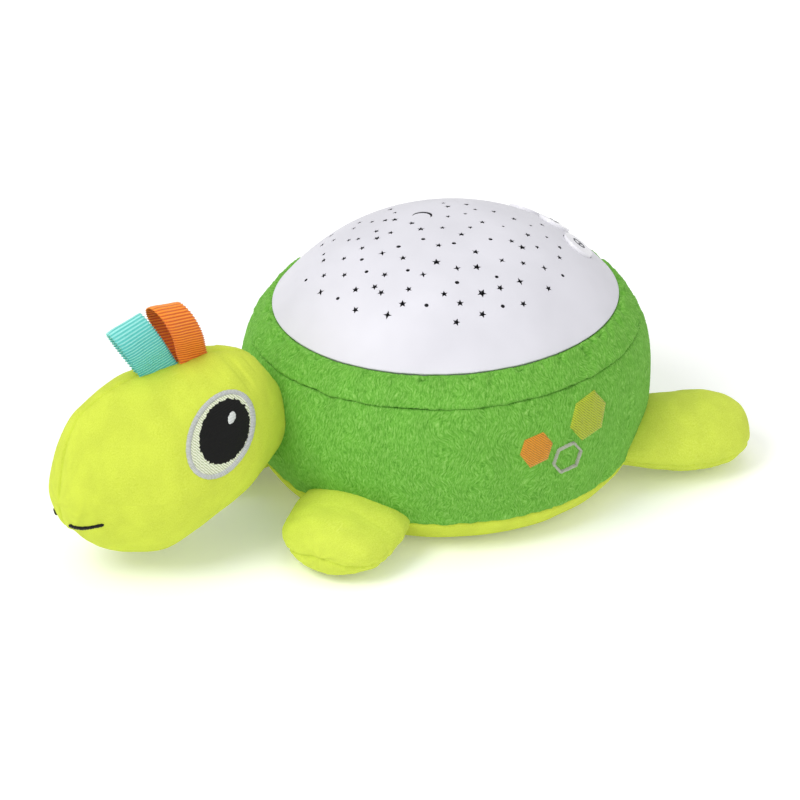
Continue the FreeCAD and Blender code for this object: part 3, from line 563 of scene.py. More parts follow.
def dome_sheet(rmax, off, step, wells, seed):
    """triangulated dome surface with its openings; returns xy points, faces, and each outline's vertex numbers"""
    outlines = []
    for i, (x, y, a, kind) in enumerate(HOLES):
        rs = random.Random(31 * i + 5)
        outlines.append(star(x, y, a * (0.80, 0.95, 0.95)[kind], kind, rs.random() * 6.28))
    outlines.append(crescent())
    outlines += wells
    outlines = [P if area2(P) > 0 else P[::-1] for P in outlines]
    pts, edges, loops = [], [], []
    nr = int(round(2 * math.pi * rmax * 73 / step))
    th = 2 * math.pi * np.arange(nr) / nr
    rim = np.stack([RX * rmax * np.cos(th), RY * rmax * np.sin(th)], 1)
    pts += list(rim); edges += [(i, (i + 1) % nr) for i in range(nr)]
    loops.append(list(range(nr)))
    for P in outlines:
        b = len(pts); n = len(P)
        pts += list(P); edges += [(b + i, b + (i + 1) % n) for i in range(n)]
        loops.append(list(range(b, b + n)))
    con = np.array(pts)
    free = [(0.0, 0.0)]
    k = 1
    r = step * 0.9
    while r < rmax * 73 - 0.6 * step:
        n = max(6, int(round(2 * math.pi * r / step)))
        a0 = (k % 2) * math.pi / n
        for i in range(n):
            t = a0 + 2 * math.pi * i / n
            free.append((RX / 73 * r * math.cos(t), RY / 73 * r * math.sin(t)))
        r += step * 0.9; k += 1
    free = np.array(free)
    d = np.min(((free[:, None, :] - con[None, :, :]) ** 2).sum(-1), 1)
    free = free[d > (0.42 * step) ** 2]
    allp = np.vstack([con, free])
    V_, E_, F_, ov, oe, of_ = delaunay_2d_cdt([Vector(p) for p in allp], edges, [], 0, 1e-6)
    V2 = np.array([tuple(v) for v in V_])
    F2 = np.array([tuple(f) for f in F_ if len(f) == 3])
    inv = {}
    for new, olds in enumerate(ov):
        for o_ in olds:
            inv[o_] = new
    loops = [[inv[i] for i in L] for L in loops]
    # drop what lies in the openings or outside the rim
    C = V2[F2].mean(1)
    keep = np.hypot(C[:, 0] / RX, C[:, 1] / RY) < rmax * 0.99999
    for L in loops[1:]:
        P = V2[L]
        lo_, hi_ = P.min(0), P.max(0)
        cand = np.where((C[:, 0] > lo_[0]) & (C[:, 0] < hi_[0]) & (C[:, 1] > lo_[1]) & (C[:, 1] < hi_[1]) & keep)[0]
        if len(cand):
            inside = np.zeros(len(cand), bool)
            for i in range(len(P)):
                a, b = P[i], P[(i + 1) % len(P)]
                q = C[cand]
                c = ((a[1] > q[:, 1]) != (b[1] > q[:, 1]))
                with np.errstate(divide="ignore", invalid="ignore"):
                    xi = (b[0] - a[0]) * (q[:, 1] - a[1]) / (b[1] - a[1]) + a[0]
                inside ^= c & (q[:, 0] < xi)
            keep[cand[inside]] = False
    F2 = F2[keep]
    A = V2[F2]
    ar = (A[:, 1, 0] - A[:, 0, 0]) * (A[:, 2, 1] - A[:, 0, 1]) - (A[:, 2, 0] - A[:, 0, 0]) * (A[:, 1, 1] - A[:, 0, 1])
    F2[ar < 0] = F2[ar < 0][:, ::-1]
    F2 = F2[np.abs(ar) > 1e-7]
    Z = dome_z(V2[:, 0], V2[:, 1]) + off
    return np.column_stack([V2, Z]), F2, loops


def build_dome():
    wo = [well(s * 20.0, 7.6, 0.0) for s in (-1, 0, 1)]
    wi = [well(s * 20.0, 7.6, -2.3) for s in (-1, 0, 1)]
    VO, FO, LO = dome_sheet(1.0, 0.0, 2.1, wo, 1)
    VI, FI, LI = dome_sheet(69.9 / 73, -2.3, 3.0, wi, 2)
    Vs, Fs, mi = [VO], [FO.tolist()], [0] * len(FO)
    n0 = len(VO)
    Vs.append(VI); Fs.append((FI[:, ::-1] + n0).tolist()); mi += [1] * len(FI)
    n = n0 + len(VI)
    # walls of the openings, with a small rolled lip at the outer edge; below the lip the walls take the dark inner
    # material, painted shade
    for a, b in zip(LO[1:], LI[1:]):
        m = len(a)
        top = VO[a]; bot = VI[b]
        cen = top.mean(0)
        lip = top + (bot - top) * 0.10 
        inn = bot
        ring = np.vstack([top, lip, inn])
        Vs.append(ring)
        f = []
        for k in range(2):
            for i in range(m):
                j = (i + 1) % m
                f.append((n + k * m + i, n + k * m + j, n + (k + 1) * m + j, n + (k + 1) * m + i))
        Fs.append(f); mi += [0] * m + [1] * m
        n += len(ring)
    # skirt
    a = VO[LO[0]]; th = np.arctan2(a[:, 1] / RY, a[:, 0] / RX)
    m = len(a)
    rows = [np.column_stack([RX * r / 73 * np.cos(th), RY * r / 73 * np.sin(th), np.full(m, z)]) for r, z in
            ((73.0, float(a[0, 2])), (73.12, 81.72), (73.05, 81.4), (72.7, 81.15), (71.9, 81.1), (71.9, 76.0), (71.9, 72.0), (69.9, 72.0), (69.9, 76.0), (69.9, float(VI[LI[0]][0, 2])))]
    Vs.append(np.vstack(rows))
    f = []
    for k in range(len(rows) - 1):
        for i in range(m):
            j = (i + 1) % m
            f.append((n + k * m + j, n + k * m + i, n + (k + 1) * m + i, n + (k + 1) * m + j))
    Fs.append(f); mi += [0] * (6 * m) + [0] * m + [1] * (2 * m)
    n += len(rows) * m
    # screw posts under the skin, in the dark inner material: painted shade
    for x, y in BOSS:
        t = 2 * math.pi * np.arange(24) / 24
        c, s = np.cos(t), np.sin(t)
        zt = dome_z(x + 4 * c, y + 4 * s) - 1.6
        rows = [np.column_stack([x + 4 * c, y + 4 * s, zt]), np.column_stack([x + 4 * c, y + 4 * s, np.full(24, 72.0)]),
                np.column_stack([x + 1.2 * c, y + 1.2 * s, np.full(24, 72.0)]), np.column_stack([x + 1.2 * c, y + 1.2 * s, np.full(24, 83.0)])]
        Vs.append(np.vstack(rows))
        f = []
        for k in range(3):
            for i in range(24):
                j = (i + 1) % 24
                f.append((n + k * 24 + j, n + k * 24 + i, n + (k + 1) * 24 + i, n + (k + 1) * 24 + j))
        f.append(tuple(n + 72 + i for i in range(24))[::-1])
        Fs.append(f); mi += [1] * (72 + 1)
        n += 96
    ob = add_mesh("dome_shell_pierced", M(np.vstack(Vs)), [x for f in Fs for x in f], [DOME, DOME_SHADE_INSIDE], midx=mi)
    ob.data.set_sharp_from_angle(angle=math.radians(34))
    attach(ob, "body"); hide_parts("dome_shell")
    return ob


dome = build_dome()


# small generic signs on the buttons, thin printed pads
def icon_piece(name, bx, body, shapes):
    """shapes: closed outlines about the button's middle, in mm across (x) and up the slope"""
    lo_, hi_ = -20.0, 12.0
    for _ in range(40):
        mid = (lo_ + hi_) / 2
        p = S0 + np.array([bx, 0, 0]) + NB * mid
        if p[2] > float(dome_z(p[0], p[1])) + 1.5:
            hi_ = mid
        else:
            lo_ = mid
    c0 = S0 + np.array([bx, 0, 0]) + NB * lo_
    Vs, Fs, n = [], [], 0
    for P, holes in shapes:
        loops = [np.asarray(P)] + [np.asarray(h) for h in holes]
        pts = np.vstack(loops)
        edges, b = [], 0
        for L in loops:
            edges += [(b + i, b + (i + 1) % len(L)) for i in range(len(L))]; b += len(L)
        V_, _, F_, ov, _, _ = delaunay_2d_cdt([Vector(p) for p in pts], edges, [], 1 if not holes else 5, 1e-6)
        V2 = np.array([tuple(v) for v in V_])
        F2 = []
        for f in F_:
            q = V2[list(f)]
            F2.append(tuple(f) if area2(q) > 0 else tuple(f)[::-1])
        XY = c0[:2] + np.column_stack([V2[:, 0], V2[:, 1] * NB[2]])
        top = np.column_stack([XY, dome_z(XY[:, 0], XY[:, 1]) + 1.5 + 0.16])
        low = top - np.array([0, 0, 0.22])
        k = len(V2)
        Vs += [top, low]
        Fs += [tuple(n + i for i in f) for f in F2]
        inv = {}
        for new, olds in enumerate(ov):
            for o_ in olds:
                inv[o_] = new
        b = 0
        for li, L in enumerate(loops):
            ids = [inv[b + i] for i in range(len(L))]; b += len(L)
            if (area2(np.asarray(L)) > 0) != (li == 0):
                ids = ids[::-1]
            for i in range(len(ids)):
                j = (i + 1) % len(ids)
                Fs.append((n + ids[j], n + ids[i], n + k + ids[i], n + k + ids[j]))
        n += 2 * k
    ob = add_mesh(name, M(np.vstack(Vs)), Fs, ICON, flat=True)
    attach(ob, body)
    return ob


def circ(cx, cy, r, n=28):
    t = 2 * math.pi * np.arange(n) / n
    return np.column_stack([cx + r * np.cos(t), cy + r * np.sin(t)])


def arc_band(r0, r1, a0, a1, n=26):
    t = np.radians(np.linspace(a0, a1, n))
    return np.vstack([np.column_stack([r1 * np.cos(t), r1 * np.sin(t)]), np.column_stack([r0 * np.cos(t[::-1]), r0 * np.sin(t[::-1])])])


def bar(x0, y0, x1, y1, w):
    d = np.array([x1 - x0, y1 - y0]); d = d / np.linalg.norm(d); s = np.array([-d[1], d[0]]) * w / 2
    a, b = np.array([x0, y0]), np.array([x1, y1])
    return np.array([a - s, b - s, b + s, a + s])


icon_piece("power_sign", -20.0, "power_button", [(arc_band(2.0, 2.6, 120, 420), []), (bar(0, 0.9, 0, 3.1, 0.6), [])])
icon_piece("colour_sign", 0.0, "colour_button", [(circ(0, 1.6, 0.95), []), (circ(-1.5, -1.0, 0.95), []), (circ(1.5, -1.0, 0.95), [])])
icon_piece("timer_sign", 20.0, "timer_button", [(arc_band(2.2, 2.8, 5, 364, 40), []), (bar(0, -0.2, 0, 1.6, 0.5), []), (bar(-0.1, 0, 1.3, -0.7, 0.5), [])])


# ------------------------------------------------------------------ body panels
def prof(rows, n):
    """rows of (dx, dy, z) -> n points evenly along the line"""
    K = np.array([r if len(r) == 3 else (r[0], r[0], r[1]) for r in rows], float)
    s = np.concatenate([[0], np.cumsum(np.linalg.norm(np.diff(K, axis=0), axis=1))])
    t = np.linspace(0, s[-1], n)
    return np.column_stack([pchip(s, K[:, i], t) for i in range(3)]), t


def ring_grid(P, nth):
    th = 2 * math.pi * np.arange(nth) / nth
    a = RX + P[:, 0][:, None]; b = RY + P[:, 1][:, None]
    return np.stack([a * np.cos(th), b * np.sin(th), np.repeat(P[:, 2][:, None], nth, 1)], -1), th


def streaks(U, V_, seed, su=0.85, sv=0.26, slant=0.25):
    """pile in brushed clumps: mm coordinates around and along the profile"""
    w = noise(np.stack([U * 0.045, V_ * 0.05, U * 0 + seed], -1), seed) * 5.0
    a = noise(np.stack([(U + w + V_ * slant) * su, V_ * sv, U * 0 + 3.1], -1), seed + 1)
    b = noise(np.stack([(U - w * 0.5 - V_ * slant * 0.7) * su * 1.7, V_ * sv * 2.2, U * 0 + 7.7], -1), seed + 2)
    return a * 0.65 + b * 0.45


NTH = 940
CIRC = 2 * math.pi * 84.0
rsr = np.random.RandomState(11)
DIMPLES = []
t_ = 0.0
while t_ < 2 * math.pi - 0.12:
    DIMPLES.append((t_, rsr.uniform(0.9, 2.2), rsr.uniform(1.2, 2.4), rsr.uniform(4.0, 9.0), rsr.uniform(-0.35, 0.35)))
    t_ += rsr.uniform(0.07, 0.19)


def dimple_field(th, v):
    """gathers under the rim: th (cols), v mm down from the rim (rows)"""
    out = np.zeros(np.broadcast(th, v).shape)
    for t0, dep, wid, lng, sl in DIMPLES:
        d = (th - t0 + math.pi) % (2 * math.pi) - math.pi
        d = d * 78.0 - sl * (v - 3)
        out = np.maximum(out, 1.5 * dep * np.exp(-(d / wid) ** 2) * smooth(-1.0, 2.2, v) * (1 - smooth(lng * 0.35, lng * 1.35, v)))
    return out


def build_collar():
    rows = [(-1.6, 77.0), (-1.5, 79.0), (-0.6, 80.5), (0.5, 81.1), (1.6, 81.3), (2.9, 80.6), (4.2, 78.6), (5.8, 76.3), (7.4, 74.1), (8.8, 72.1), (9.6, 70.8), (9.3, 70.0), (8.2, 69.6), (6.5, 69.8)]
    P, s = prof(rows, 46)
    G, th = ring_grid(P, NTH)
    N_ = -grid_normals(G)
    U = np.broadcast_to(th * 78.0, G.shape[:2]); V_ = np.broadcast_to(s[:, None], G.shape[:2])
    per = np.stack([np.cos(th), np.sin(th)], -1) * 78.0
    C3 = np.stack([np.broadcast_to(per[:, 0], U.shape), np.broadcast_to(per[:, 1], U.shape), V_], -1)
    vr = s[:, None] - 5.6                      # mm below the crest
    dim = dimple_field(th[None, :], vr)
    lump = noise(C3 * 0.055, 21) * 0.7 + noise(C3 * 0.14, 22) * 0.35
    edge = smooth(0, 3.0, s[:, None]) * (1 - smooth(s[-1] - 3.5, s[-1] - 0.5, s[:, None]))
    pile = streaks(U, V_, 31) * 0.38
    rag = noise(np.stack([U * 0.5, V_ * 0.9, U * 0], -1), 37) * 0.35 * smooth(s[-1] - 8, s[-1] - 4, s[:, None])
    D = (lump * smooth(4, 12, s[:, None]) - dim + pile) * edge + rag * edge
    D = np.where((s[:, None] < 5.6) & (D > 0.15), 0.15, D)
    G = G + N_ * D[..., None]
    # the rim line wavers a little in height
    G[..., 2] += (noise(np.stack([per[:, 0] * 0.07, per[:, 1] * 0.07, th * 0], -1), 41) * 0.35)[None, :] * (1 - smooth(3, 9, s[:, None]))
    nu, nv = G.shape[:2]
    ob = add_mesh("collar_plush", M(G.reshape(-1, 3)), grid_faces(nu, nv)[:, ::-1], GREEN, uv=flip_uv(grid_uv(U, V_, nu, nv)))
    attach(ob, "body"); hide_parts("collar_panel")
    return ob


def flip_uv(q):
    a = q[0].reshape(-1, 4, 2)[:, ::-1]
    return (a.reshape(-1, 2),)


def build_side():
    rows = [(6.8, 6.8, 69.2), (8.4, 8.4, 69.7), (9.6, 9.6, 69.3), (10.4, 10.4, 68.0), (11.9, 11.9, 65.0), (14.3, 14.3, 56.0), (15.2, 15.2, 46.0), (14.8, 14.8, 36.0), (13.2, 12.6, 27.0),
            (12.2, 9.0, 20.5), (12.0, 7.4, 17.2), (11.2, 6.4, 16.0), (9.4, 4.6, 15.8)]
    P, s = prof(rows, 118)
    G, th = ring_grid(P, NTH)
    N_ = -grid_normals(G)
    U = np.broadcast_to(th * 86.0, G.shape[:2]); V_ = np.broadcast_to(s[:, None], G.shape[:2])
    per = np.stack([np.cos(th), np.sin(th)], -1) * 86.0
    C3 = np.stack([np.broadcast_to(per[:, 0], U.shape), np.broadcast_to(per[:, 1], U.shape), V_], -1)
    edge = smooth(0, 3.0, s[:, None]) * (1 - smooth(s[-1] - 3.0, s[-1] - 0.3, s[:, None]))
    lump = noise(C3 * 0.022, 51) * 0.9 + noise(C3 * 0.06, 52) * 0.45
    # short pulls running down from the upper seam and up from the lower one
    top = np.exp(-(s[:, None] - 3) / 6.0) * smooth(1.0, 3.5, s[:, None])
    bot = np.exp(-(s[-1] - 3 - s[:, None]) / 5.0) * (1 - smooth(s[-1] - 3.5, s[-1] - 1.0, s[:, None]))
    pull = noise(np.stack([U * 0.16, V_ * 0.03, U * 0 + 2], -1), 53) * 0.75
    pile = streaks(U, V_, 61, su=0.75, sv=0.24, slant=0.45) * 0.24
    D = (lump * smooth(0, 14, s[:, None]) + pile) * edge + pull * (top + bot)
    G = G + N_ * D[..., None]
    nu, nv = G.shape[:2]
    ob = add_mesh("side_plush", M(G.reshape(-1, 3)), grid_faces(nu, nv)[:, ::-1], GREEN, uv=flip_uv(grid_uv(U, V_, nu, nv)))
    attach(ob, "body"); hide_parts("side_panel", "body_stuffing")
    return ob


def rrect(th, hx, hy, r, cy):
    """distance from (0, cy) to a rounded rectangle's edge in direction th"""
    c, s = np.abs(np.cos(th)), np.abs(np.sin(th))
    d = np.minimum(hx / np.maximum(c, 1e-9), hy / np.maximum(s, 1e-9))
    X, Y = d * c, d * s
    bad = (X > hx - r) & (Y > hy - r)
    cx, cyy = hx - r, hy - r
    bq = c * cx + s * cyy
    disc = np.maximum(bq * bq - (cx * cx + cyy * cyy - r * r), 0)
    return np.where(bad, bq + np.sqrt(disc), d)


def build_under():
    nth = 480
    rows = [(9.0, 4.2, 16.6), (10.6, 5.6, 15.9), (11.0, 6.0, 14.6), (9.2, 4.4, 11.4), (5.6, 1.0, 7.0), (0.6, -3.6, 3.2), (-5.5, -9.0, 1.1), (-11.0, -14.0, 0.45), (-16.0, -18.0, 0.32)]
    P, s = prof(rows, 46)
    G, th = ring_grid(P, nth)
    N_ = -grid_normals(G)
    U = np.broadcast_to(th * 80.0, G.shape[:2]); V_ = np.broadcast_to(s[:, None], G.shape[:2])
    per = np.stack([np.cos(th), np.sin(th)], -1) * 80
    C3 = np.stack([np.broadcast_to(per[:, 0], U.shape), np.broadcast_to(per[:, 1], U.shape), V_], -1)
    edge = smooth(0, 2.5, s[:, None])
    up = 1 - smooth(12, 26, s[:, None])
    D = (noise(C3 * 0.07, 71) * 0.5 + noise(np.stack([U * 0.2, V_ * 0.05, U * 0], -1), 72) * 0.5 * np.exp(-s[:, None] / 5.0)) * edge * up + streaks(U, V_, 75, 1.1, 0.7) * 0.06 * edge * up
    G = G + N_ * D[..., None]
    G[..., 2] = np.maximum(G[..., 2], 0.25)
    # flat belly in to the cut-out, whose edge rolls up
    last = G[-1]
    hx, hy, cy = 30.0, 37.6, -0.8
    thq = np.arctan2(last[:, 1] - cy, last[:, 0])
    rr = rrect(thq, hx, hy, 5.0, cy)
    edgexy = np.stack([rr * np.cos(thq), rr * np.sin(thq) + cy], -1)
    extra = []
    for k in np.linspace(0, 1, 16)[1:]:
        e = np.zeros_like(last); e[:, :2] = last[:, :2] * (1 - k) + edgexy * k; e[:, 2] = 0.3 + 0.12 * (noise(np.column_stack([e[:, 0] * 0.1, e[:, 1] * 0.1, e[:, 0] * 0]), 77) + 1)
        extra.append(e)
    up1 = extra[-1].copy(); up1[:, 2] = 1.2
    up2 = up1.copy(); up2[:, 2] = 2.1
    up3 = up2.copy(); up3[:, :2] = edgexy + (last[:, :2] - edgexy) * 0.25; up3[:, 2] = 2.25
    G = np.concatenate([G, np.array(extra), up1[None], up2[None], up3[None]], 0)
    nu, nv = G.shape[:2]
    ds = np.concatenate([[0], np.cumsum(np.linalg.norm(np.diff(G[:, 0], axis=0), axis=1))])
    U = np.broadcast_to(th * 80.0, (nu, nv)); V_ = np.broadcast_to(ds[:, None], (nu, nv))
    ob = add_mesh("underside_velour", M(G.reshape(-1, 3)), grid_faces(nu, nv)[:, ::-1], LIME, uv=flip_uv(grid_uv(U, V_, nu, nv)))
    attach(ob, "body"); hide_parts("underside_panel")
    # binding round the cut-out
    t = 2 * math.pi * np.arange(360) / 360
    ro = rrect(t, hx - 0.15, hy - 0.15, 5.0, cy)
    ri = rrect(t, hx - 2.5, hy - 2.5, 3.0, cy)
    sec = []
    for a in 2 * math.pi * np.arange(12) / 12:
        k = 0.5 + 0.5 * math.cos(a); z = 1.25 + 1.05 * math.sin(a)
        q = ri + (ro - ri) * k
        sec.append(np.column_stack([q * np.cos(t), q * np.sin(t) + cy, z + 0.05 * np.sin(t * 120)]))
    sec = np.array(sec)
    F = []
    for i in range(12):
        for j in range(360):
            i2, j2 = (i + 1) % 12, (j + 1) % 360
            F.append((i * 360 + j, i2 * 360 + j, i2 * 360 + j2, i * 360 + j2))
    b = add_mesh("cutout_binding", M(sec.reshape(-1, 3)), F, BINDING)
    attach(b, "body"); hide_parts("opening_binding")
    return ob


collar = build_collar()
side = build_side()
under = build_under()


# ------------------------------------------------------------------ head
HEAD = [(-82, 49, 12, 12, 9), (-88, 50.5, 18, 17, 12.5), (-93, 52, 23.5, 21.5, 16.5), (-98, 52.8, 29.0, 25.6, 20.5), (-105, 52.1, 33.6, 28.2, 26.0), (-115, 51.1, 37.3, 30.6, 32.5), (-125, 49.4, 39.3, 32.6, 34.9), (-137, 45.9, 42.5, 35.8, 34.4),
        (-150, 42.9, 44.3, 37.6, 33.0), (-162, 42.8, 41.9, 35.1, 28.1), (-172, 43.1, 37.7, 30.9, 22.2), (-179, 43.7, 32.6, 25.8, 18.2), (-184.5, 42.8, 25.2, 18.5, 14.9),
        (-188, 39.6, 17.9, 12.4, 12.2), (-190, 38.5, 7.9, 5.0, 6.4), (-190.6, 38.9, 0.2, 0.2, 0.15)]


def build_head():
    H = np.array(HEAD, float)
    s = np.concatenate([[0], np.cumsum(np.hypot(np.diff(H[:, 0]), np.diff(H[:, 2])))])
    n = 210
    t = np.linspace(0, s[-1], n)
    y, zc, hu, hd, hw = [pchip(s, H[:, i], t) for i in range(5)]
    m = 300
    a = 2 * math.pi * (np.arange(m)) / m
    # even out the spacing along the outline a little
    c, sn = np.cos(a), np.sin(a)
    pw = 2.0 / 1.72
    cu = np.sign(c) * np.abs(c) ** pw; sv = np.sign(sn) * np.abs(sn) ** pw
    X = hw[:, None] * cu[None, :]
    Z = zc[:, None] + np.where(sv[None, :] > 0, hu[:, None], hd[:, None]) * sv[None, :]
    Y = np.repeat(y[:, None], m, 1)
    G = np.stack([X, Y, Z], -1)
    N_ = -grid_normals(G)
    cen = np.stack([X * 0, Y, np.repeat(zc[:, None], m, 1)], -1)
    flip = np.sum(N_ * (G - cen), -1) < 0
    N_[flip] *= -1
    ax = np.abs(G[..., 0])
    sym = np.stack([ax, G[..., 1], G[..., 2]], -1)
    # centre seam over the top and under the chin; small gathers beside it
    seam = np.exp(-(ax / 0.75) ** 2)
    soft = np.exp(-(ax / 3.2) ** 2)
    along = np.where(np.abs(G[..., 2] - zc[:, None]) > 0, G[..., 2], 0)
    gath = noise(np.stack([ax * 0.12, G[..., 1] * 0.33, along * 0.33], -1), 81) * np.exp(-ax / 5.0)
    D = -0.85 * seam - 0.45 * soft + 0.30 * gath
    D += noise(sym * 0.035, 82) * 0.55 + noise(sym * 0.09, 83) * 0.12
    # slack folds behind the ribbons and under the jaw
    fold = np.exp(-((G[..., 1] + 108) / 7.5) ** 2) * smooth(70, 84, G[..., 2])
    D += -0.75 * fold * smooth(-0.4, 0.6, np.cos((G[..., 1] + 0.25 * G[..., 2] - 0.20 * ax) * 0.62 + 1.0)) * smooth(3, 9, ax) * (1 - smooth(17, 24, ax))
    U = np.arctan2(G[..., 2] - zc[:, None], G[..., 0]) * 36.0
    D += streaks(G[..., 1], G[..., 2] + G[..., 0] * 0.6, 85, 1.1, 0.9) * 0.07
    fade = smooth(0, 6, t)[:, None] * (1 - smooth(s[-1] - 3.0, s[-1], t)[:, None] * 0.8)
    G = G + N_ * (D * fade)[..., None]
    Uv = np.repeat(t[:, None], m, 1)
    Vv = np.repeat((np.cumsum(np.hypot(np.diff(cu, append=cu[0]) * 34, np.diff(sv, append=sv[0]) * 38)))[None, :], n, 0)
    F = grid_faces(n, m)
    tip = tuple(range((n - 1) * m, n * m))
    Fl = [tuple(f) for f in F] + [tip]
    uvq = grid_uv(Uv, Vv, n, m)[0].reshape(-1, 2)
    uvq = np.vstack([uvq, np.column_stack([Uv[-1], Vv[-1]])])
    ob = add_mesh("head_velour", M(G.reshape(-1, 3)), Fl, LIME, uv=(uvq,))
    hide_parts("head_cover", "head_stuffing")
    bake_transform(ob)
    return ob, G


head, HG = build_head()


def outward(ob):
    """face winding outward for a closed-ish piece, by the sign of its volume"""
    me = ob.data
    n = len(me.vertices); co = np.zeros(n * 3); me.vertices.foreach_get("co", co); co = co.reshape(-1, 3)
    me.calc_loop_triangles()
    tr = np.zeros(len(me.loop_triangles) * 3, np.int32); me.loop_triangles.foreach_get("vertices", tr); tr = tr.reshape(-1, 3)
    c = co.mean(0)
    a, b, d = co[tr[:, 0]] - c, co[tr[:, 1]] - c, co[tr[:, 2]] - c
    vol = np.sum(a * np.cross(b, d))
    if vol < 0:
        me.flip_normals()
    return vol


for o_ in (head, collar, side, under):
    print("winding", o_.name, round(float(outward(o_)) * 1e6, 2))


# ------------------------------------------------------------------ flippers
FLIP = {"front_left": ((37.1, -67.3), (59.2, -101.7), 25.0, 13.0, 17.4), "rear_left": ((51.0, 64.3), (65.9, 114.9), 24.5, 15.0, 17.7)}
FST = [(-0.30, .72, .50), (-0.12, .88, .70), (0.0, .95, .82), (.12, .98, .92), (.3, 1.01, 1.0), (.5, 1, 1), (.68, .94, .96), (.82, .80, .85), (.92, .58, .66), (.975, .34, .42), (1.0, .02, .03)]


def build_flipper(name, mirror):
    root, tip, w, h, z0 = FLIP[name]
    (rx, ry), (tx, ty) = root, tip
    L = math.hypot(tx - rx, ty - ry)
    ax = np.array([(tx - rx) / L, (ty - ry) / L]); nx = np.array([-ax[1], ax[0]])
    K = np.array(FST)
    s = np.concatenate([[0], np.cumsum(np.hypot(np.diff(K[:, 0]) * L, np.diff(K[:, 1]) * w))])
    n = 130
    q = np.linspace(0, s[-1], n)
    tt, fw, fh = [pchip(s, K[:, i], q) for i in range(3)]
    m = 190
    a = 2 * math.pi * np.arange(m) / m
    c, sn = np.cos(a), np.sin(a)
    pw = 2.0 / 1.9
    cu = np.sign(c) * np.abs(c) ** pw; sv = np.sign(sn) * np.abs(sn) ** pw
    zc = z0 + (h + 0.4 - z0) * np.clip(tt / 0.5, -0.2, 1)
    u = w * fw[:, None] * cu[None, :]; v = h * fh[:, None] * sv[None, :]
    P = np.stack([rx + ax[0] * tt[:, None] * L + nx[0] * u, ry + ax[1] * tt[:, None] * L + nx[1] * u, zc[:, None] + v], -1)
    N_ = -grid_normals(P)
    cen = np.stack([rx + ax[0] * tt[:, None] * L + 0 * u, ry + ax[1] * tt[:, None] * L + 0 * u, zc[:, None] + 0 * v], -1)
    fl = np.sum(N_ * (P - cen), -1) < 0
    N_[fl] *= -1
    # sewn edge runs round the outline, below the middle
    rel = v / (h * np.maximum(fh[:, None], 0.06))
    dist = np.abs(rel + 0.38) * h * np.maximum(fh[:, None], 0.12) * np.where(np.abs(cu)[None, :] > 0.02, 1, 1)
    dist = np.where(sv[None, :] < 0.25, dist, dist + 6)
    edgew = smooth(0.35, 0.75, np.abs(cu))[None, :] + smooth(0.80, 0.97, tt)[:, None]
    edgew = np.clip(edgew, 0, 1)
    groove = np.exp(-(dist / 0.8) ** 2) * edgew
    soft = np.exp(-(dist / 3.0) ** 2) * edgew
    seed = 91 if name == "front_left" else 101
    per = np.stack([np.arctan2(P[..., 1] - (ry + ty) / 2, P[..., 0] - (rx + tx) / 2) * 26, rel * 3, 0 * u], -1)
    gath = noise(per * np.array([0.24, 0.25, 1]), seed) * np.exp(-dist / 6.5) * edgew
    D = -0.95 * groove - 0.35 * soft + 0.75 * gath
    D += noise(P * 0.045, seed + 1) * 0.75 + noise(P * 0.12, seed + 2) * 0.28
    D += streaks(P[..., 0], P[..., 1], seed + 3, 1.0, 0.9) * 0.08
    fade = smooth(0, 4, q)[:, None]
    P = P + N_ * (D * fade)[..., None]
    P[..., 2] = np.where(P[..., 2] < 0.9, 0.35 + 0.6 * np.log1p(np.exp((P[..., 2] - 0.35) / 0.6)) * 0.75, P[..., 2])
    P[..., 2] = np.maximum(P[..., 2], 0.2)
    if mirror:
        P = P * np.array([-1, 1, 1])
    Uv = np.repeat(q[:, None], m, 1)
    Vv = np.repeat(np.cumsum(np.hypot(np.diff(cu, append=cu[0]) * w, np.diff(sv, append=sv[0]) * h))[None, :], n, 0)
    F = [tuple(f) for f in grid_faces(n, m)] + [tuple(range((n - 1) * m, n * m))]
    uvq = np.vstack([grid_uv(Uv, Vv, n, m)[0], np.column_stack([Uv[-1], Vv[-1]])])
    full = name.replace("left", "right") if mirror else name
    ob = add_mesh(full + "_flipper_velour", M(P.reshape(-1, 3)), F, LIMEF, uv=(uvq,))
    outward(ob)
    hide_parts(full + "_flipper_cover", full + "_flipper_stuffing")
    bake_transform(ob)
    return ob


flips = {}
for nm in FLIP:
    for mir in (False, True):
        ob = build_flipper(nm, mir)
        flips[ob.name] = ob


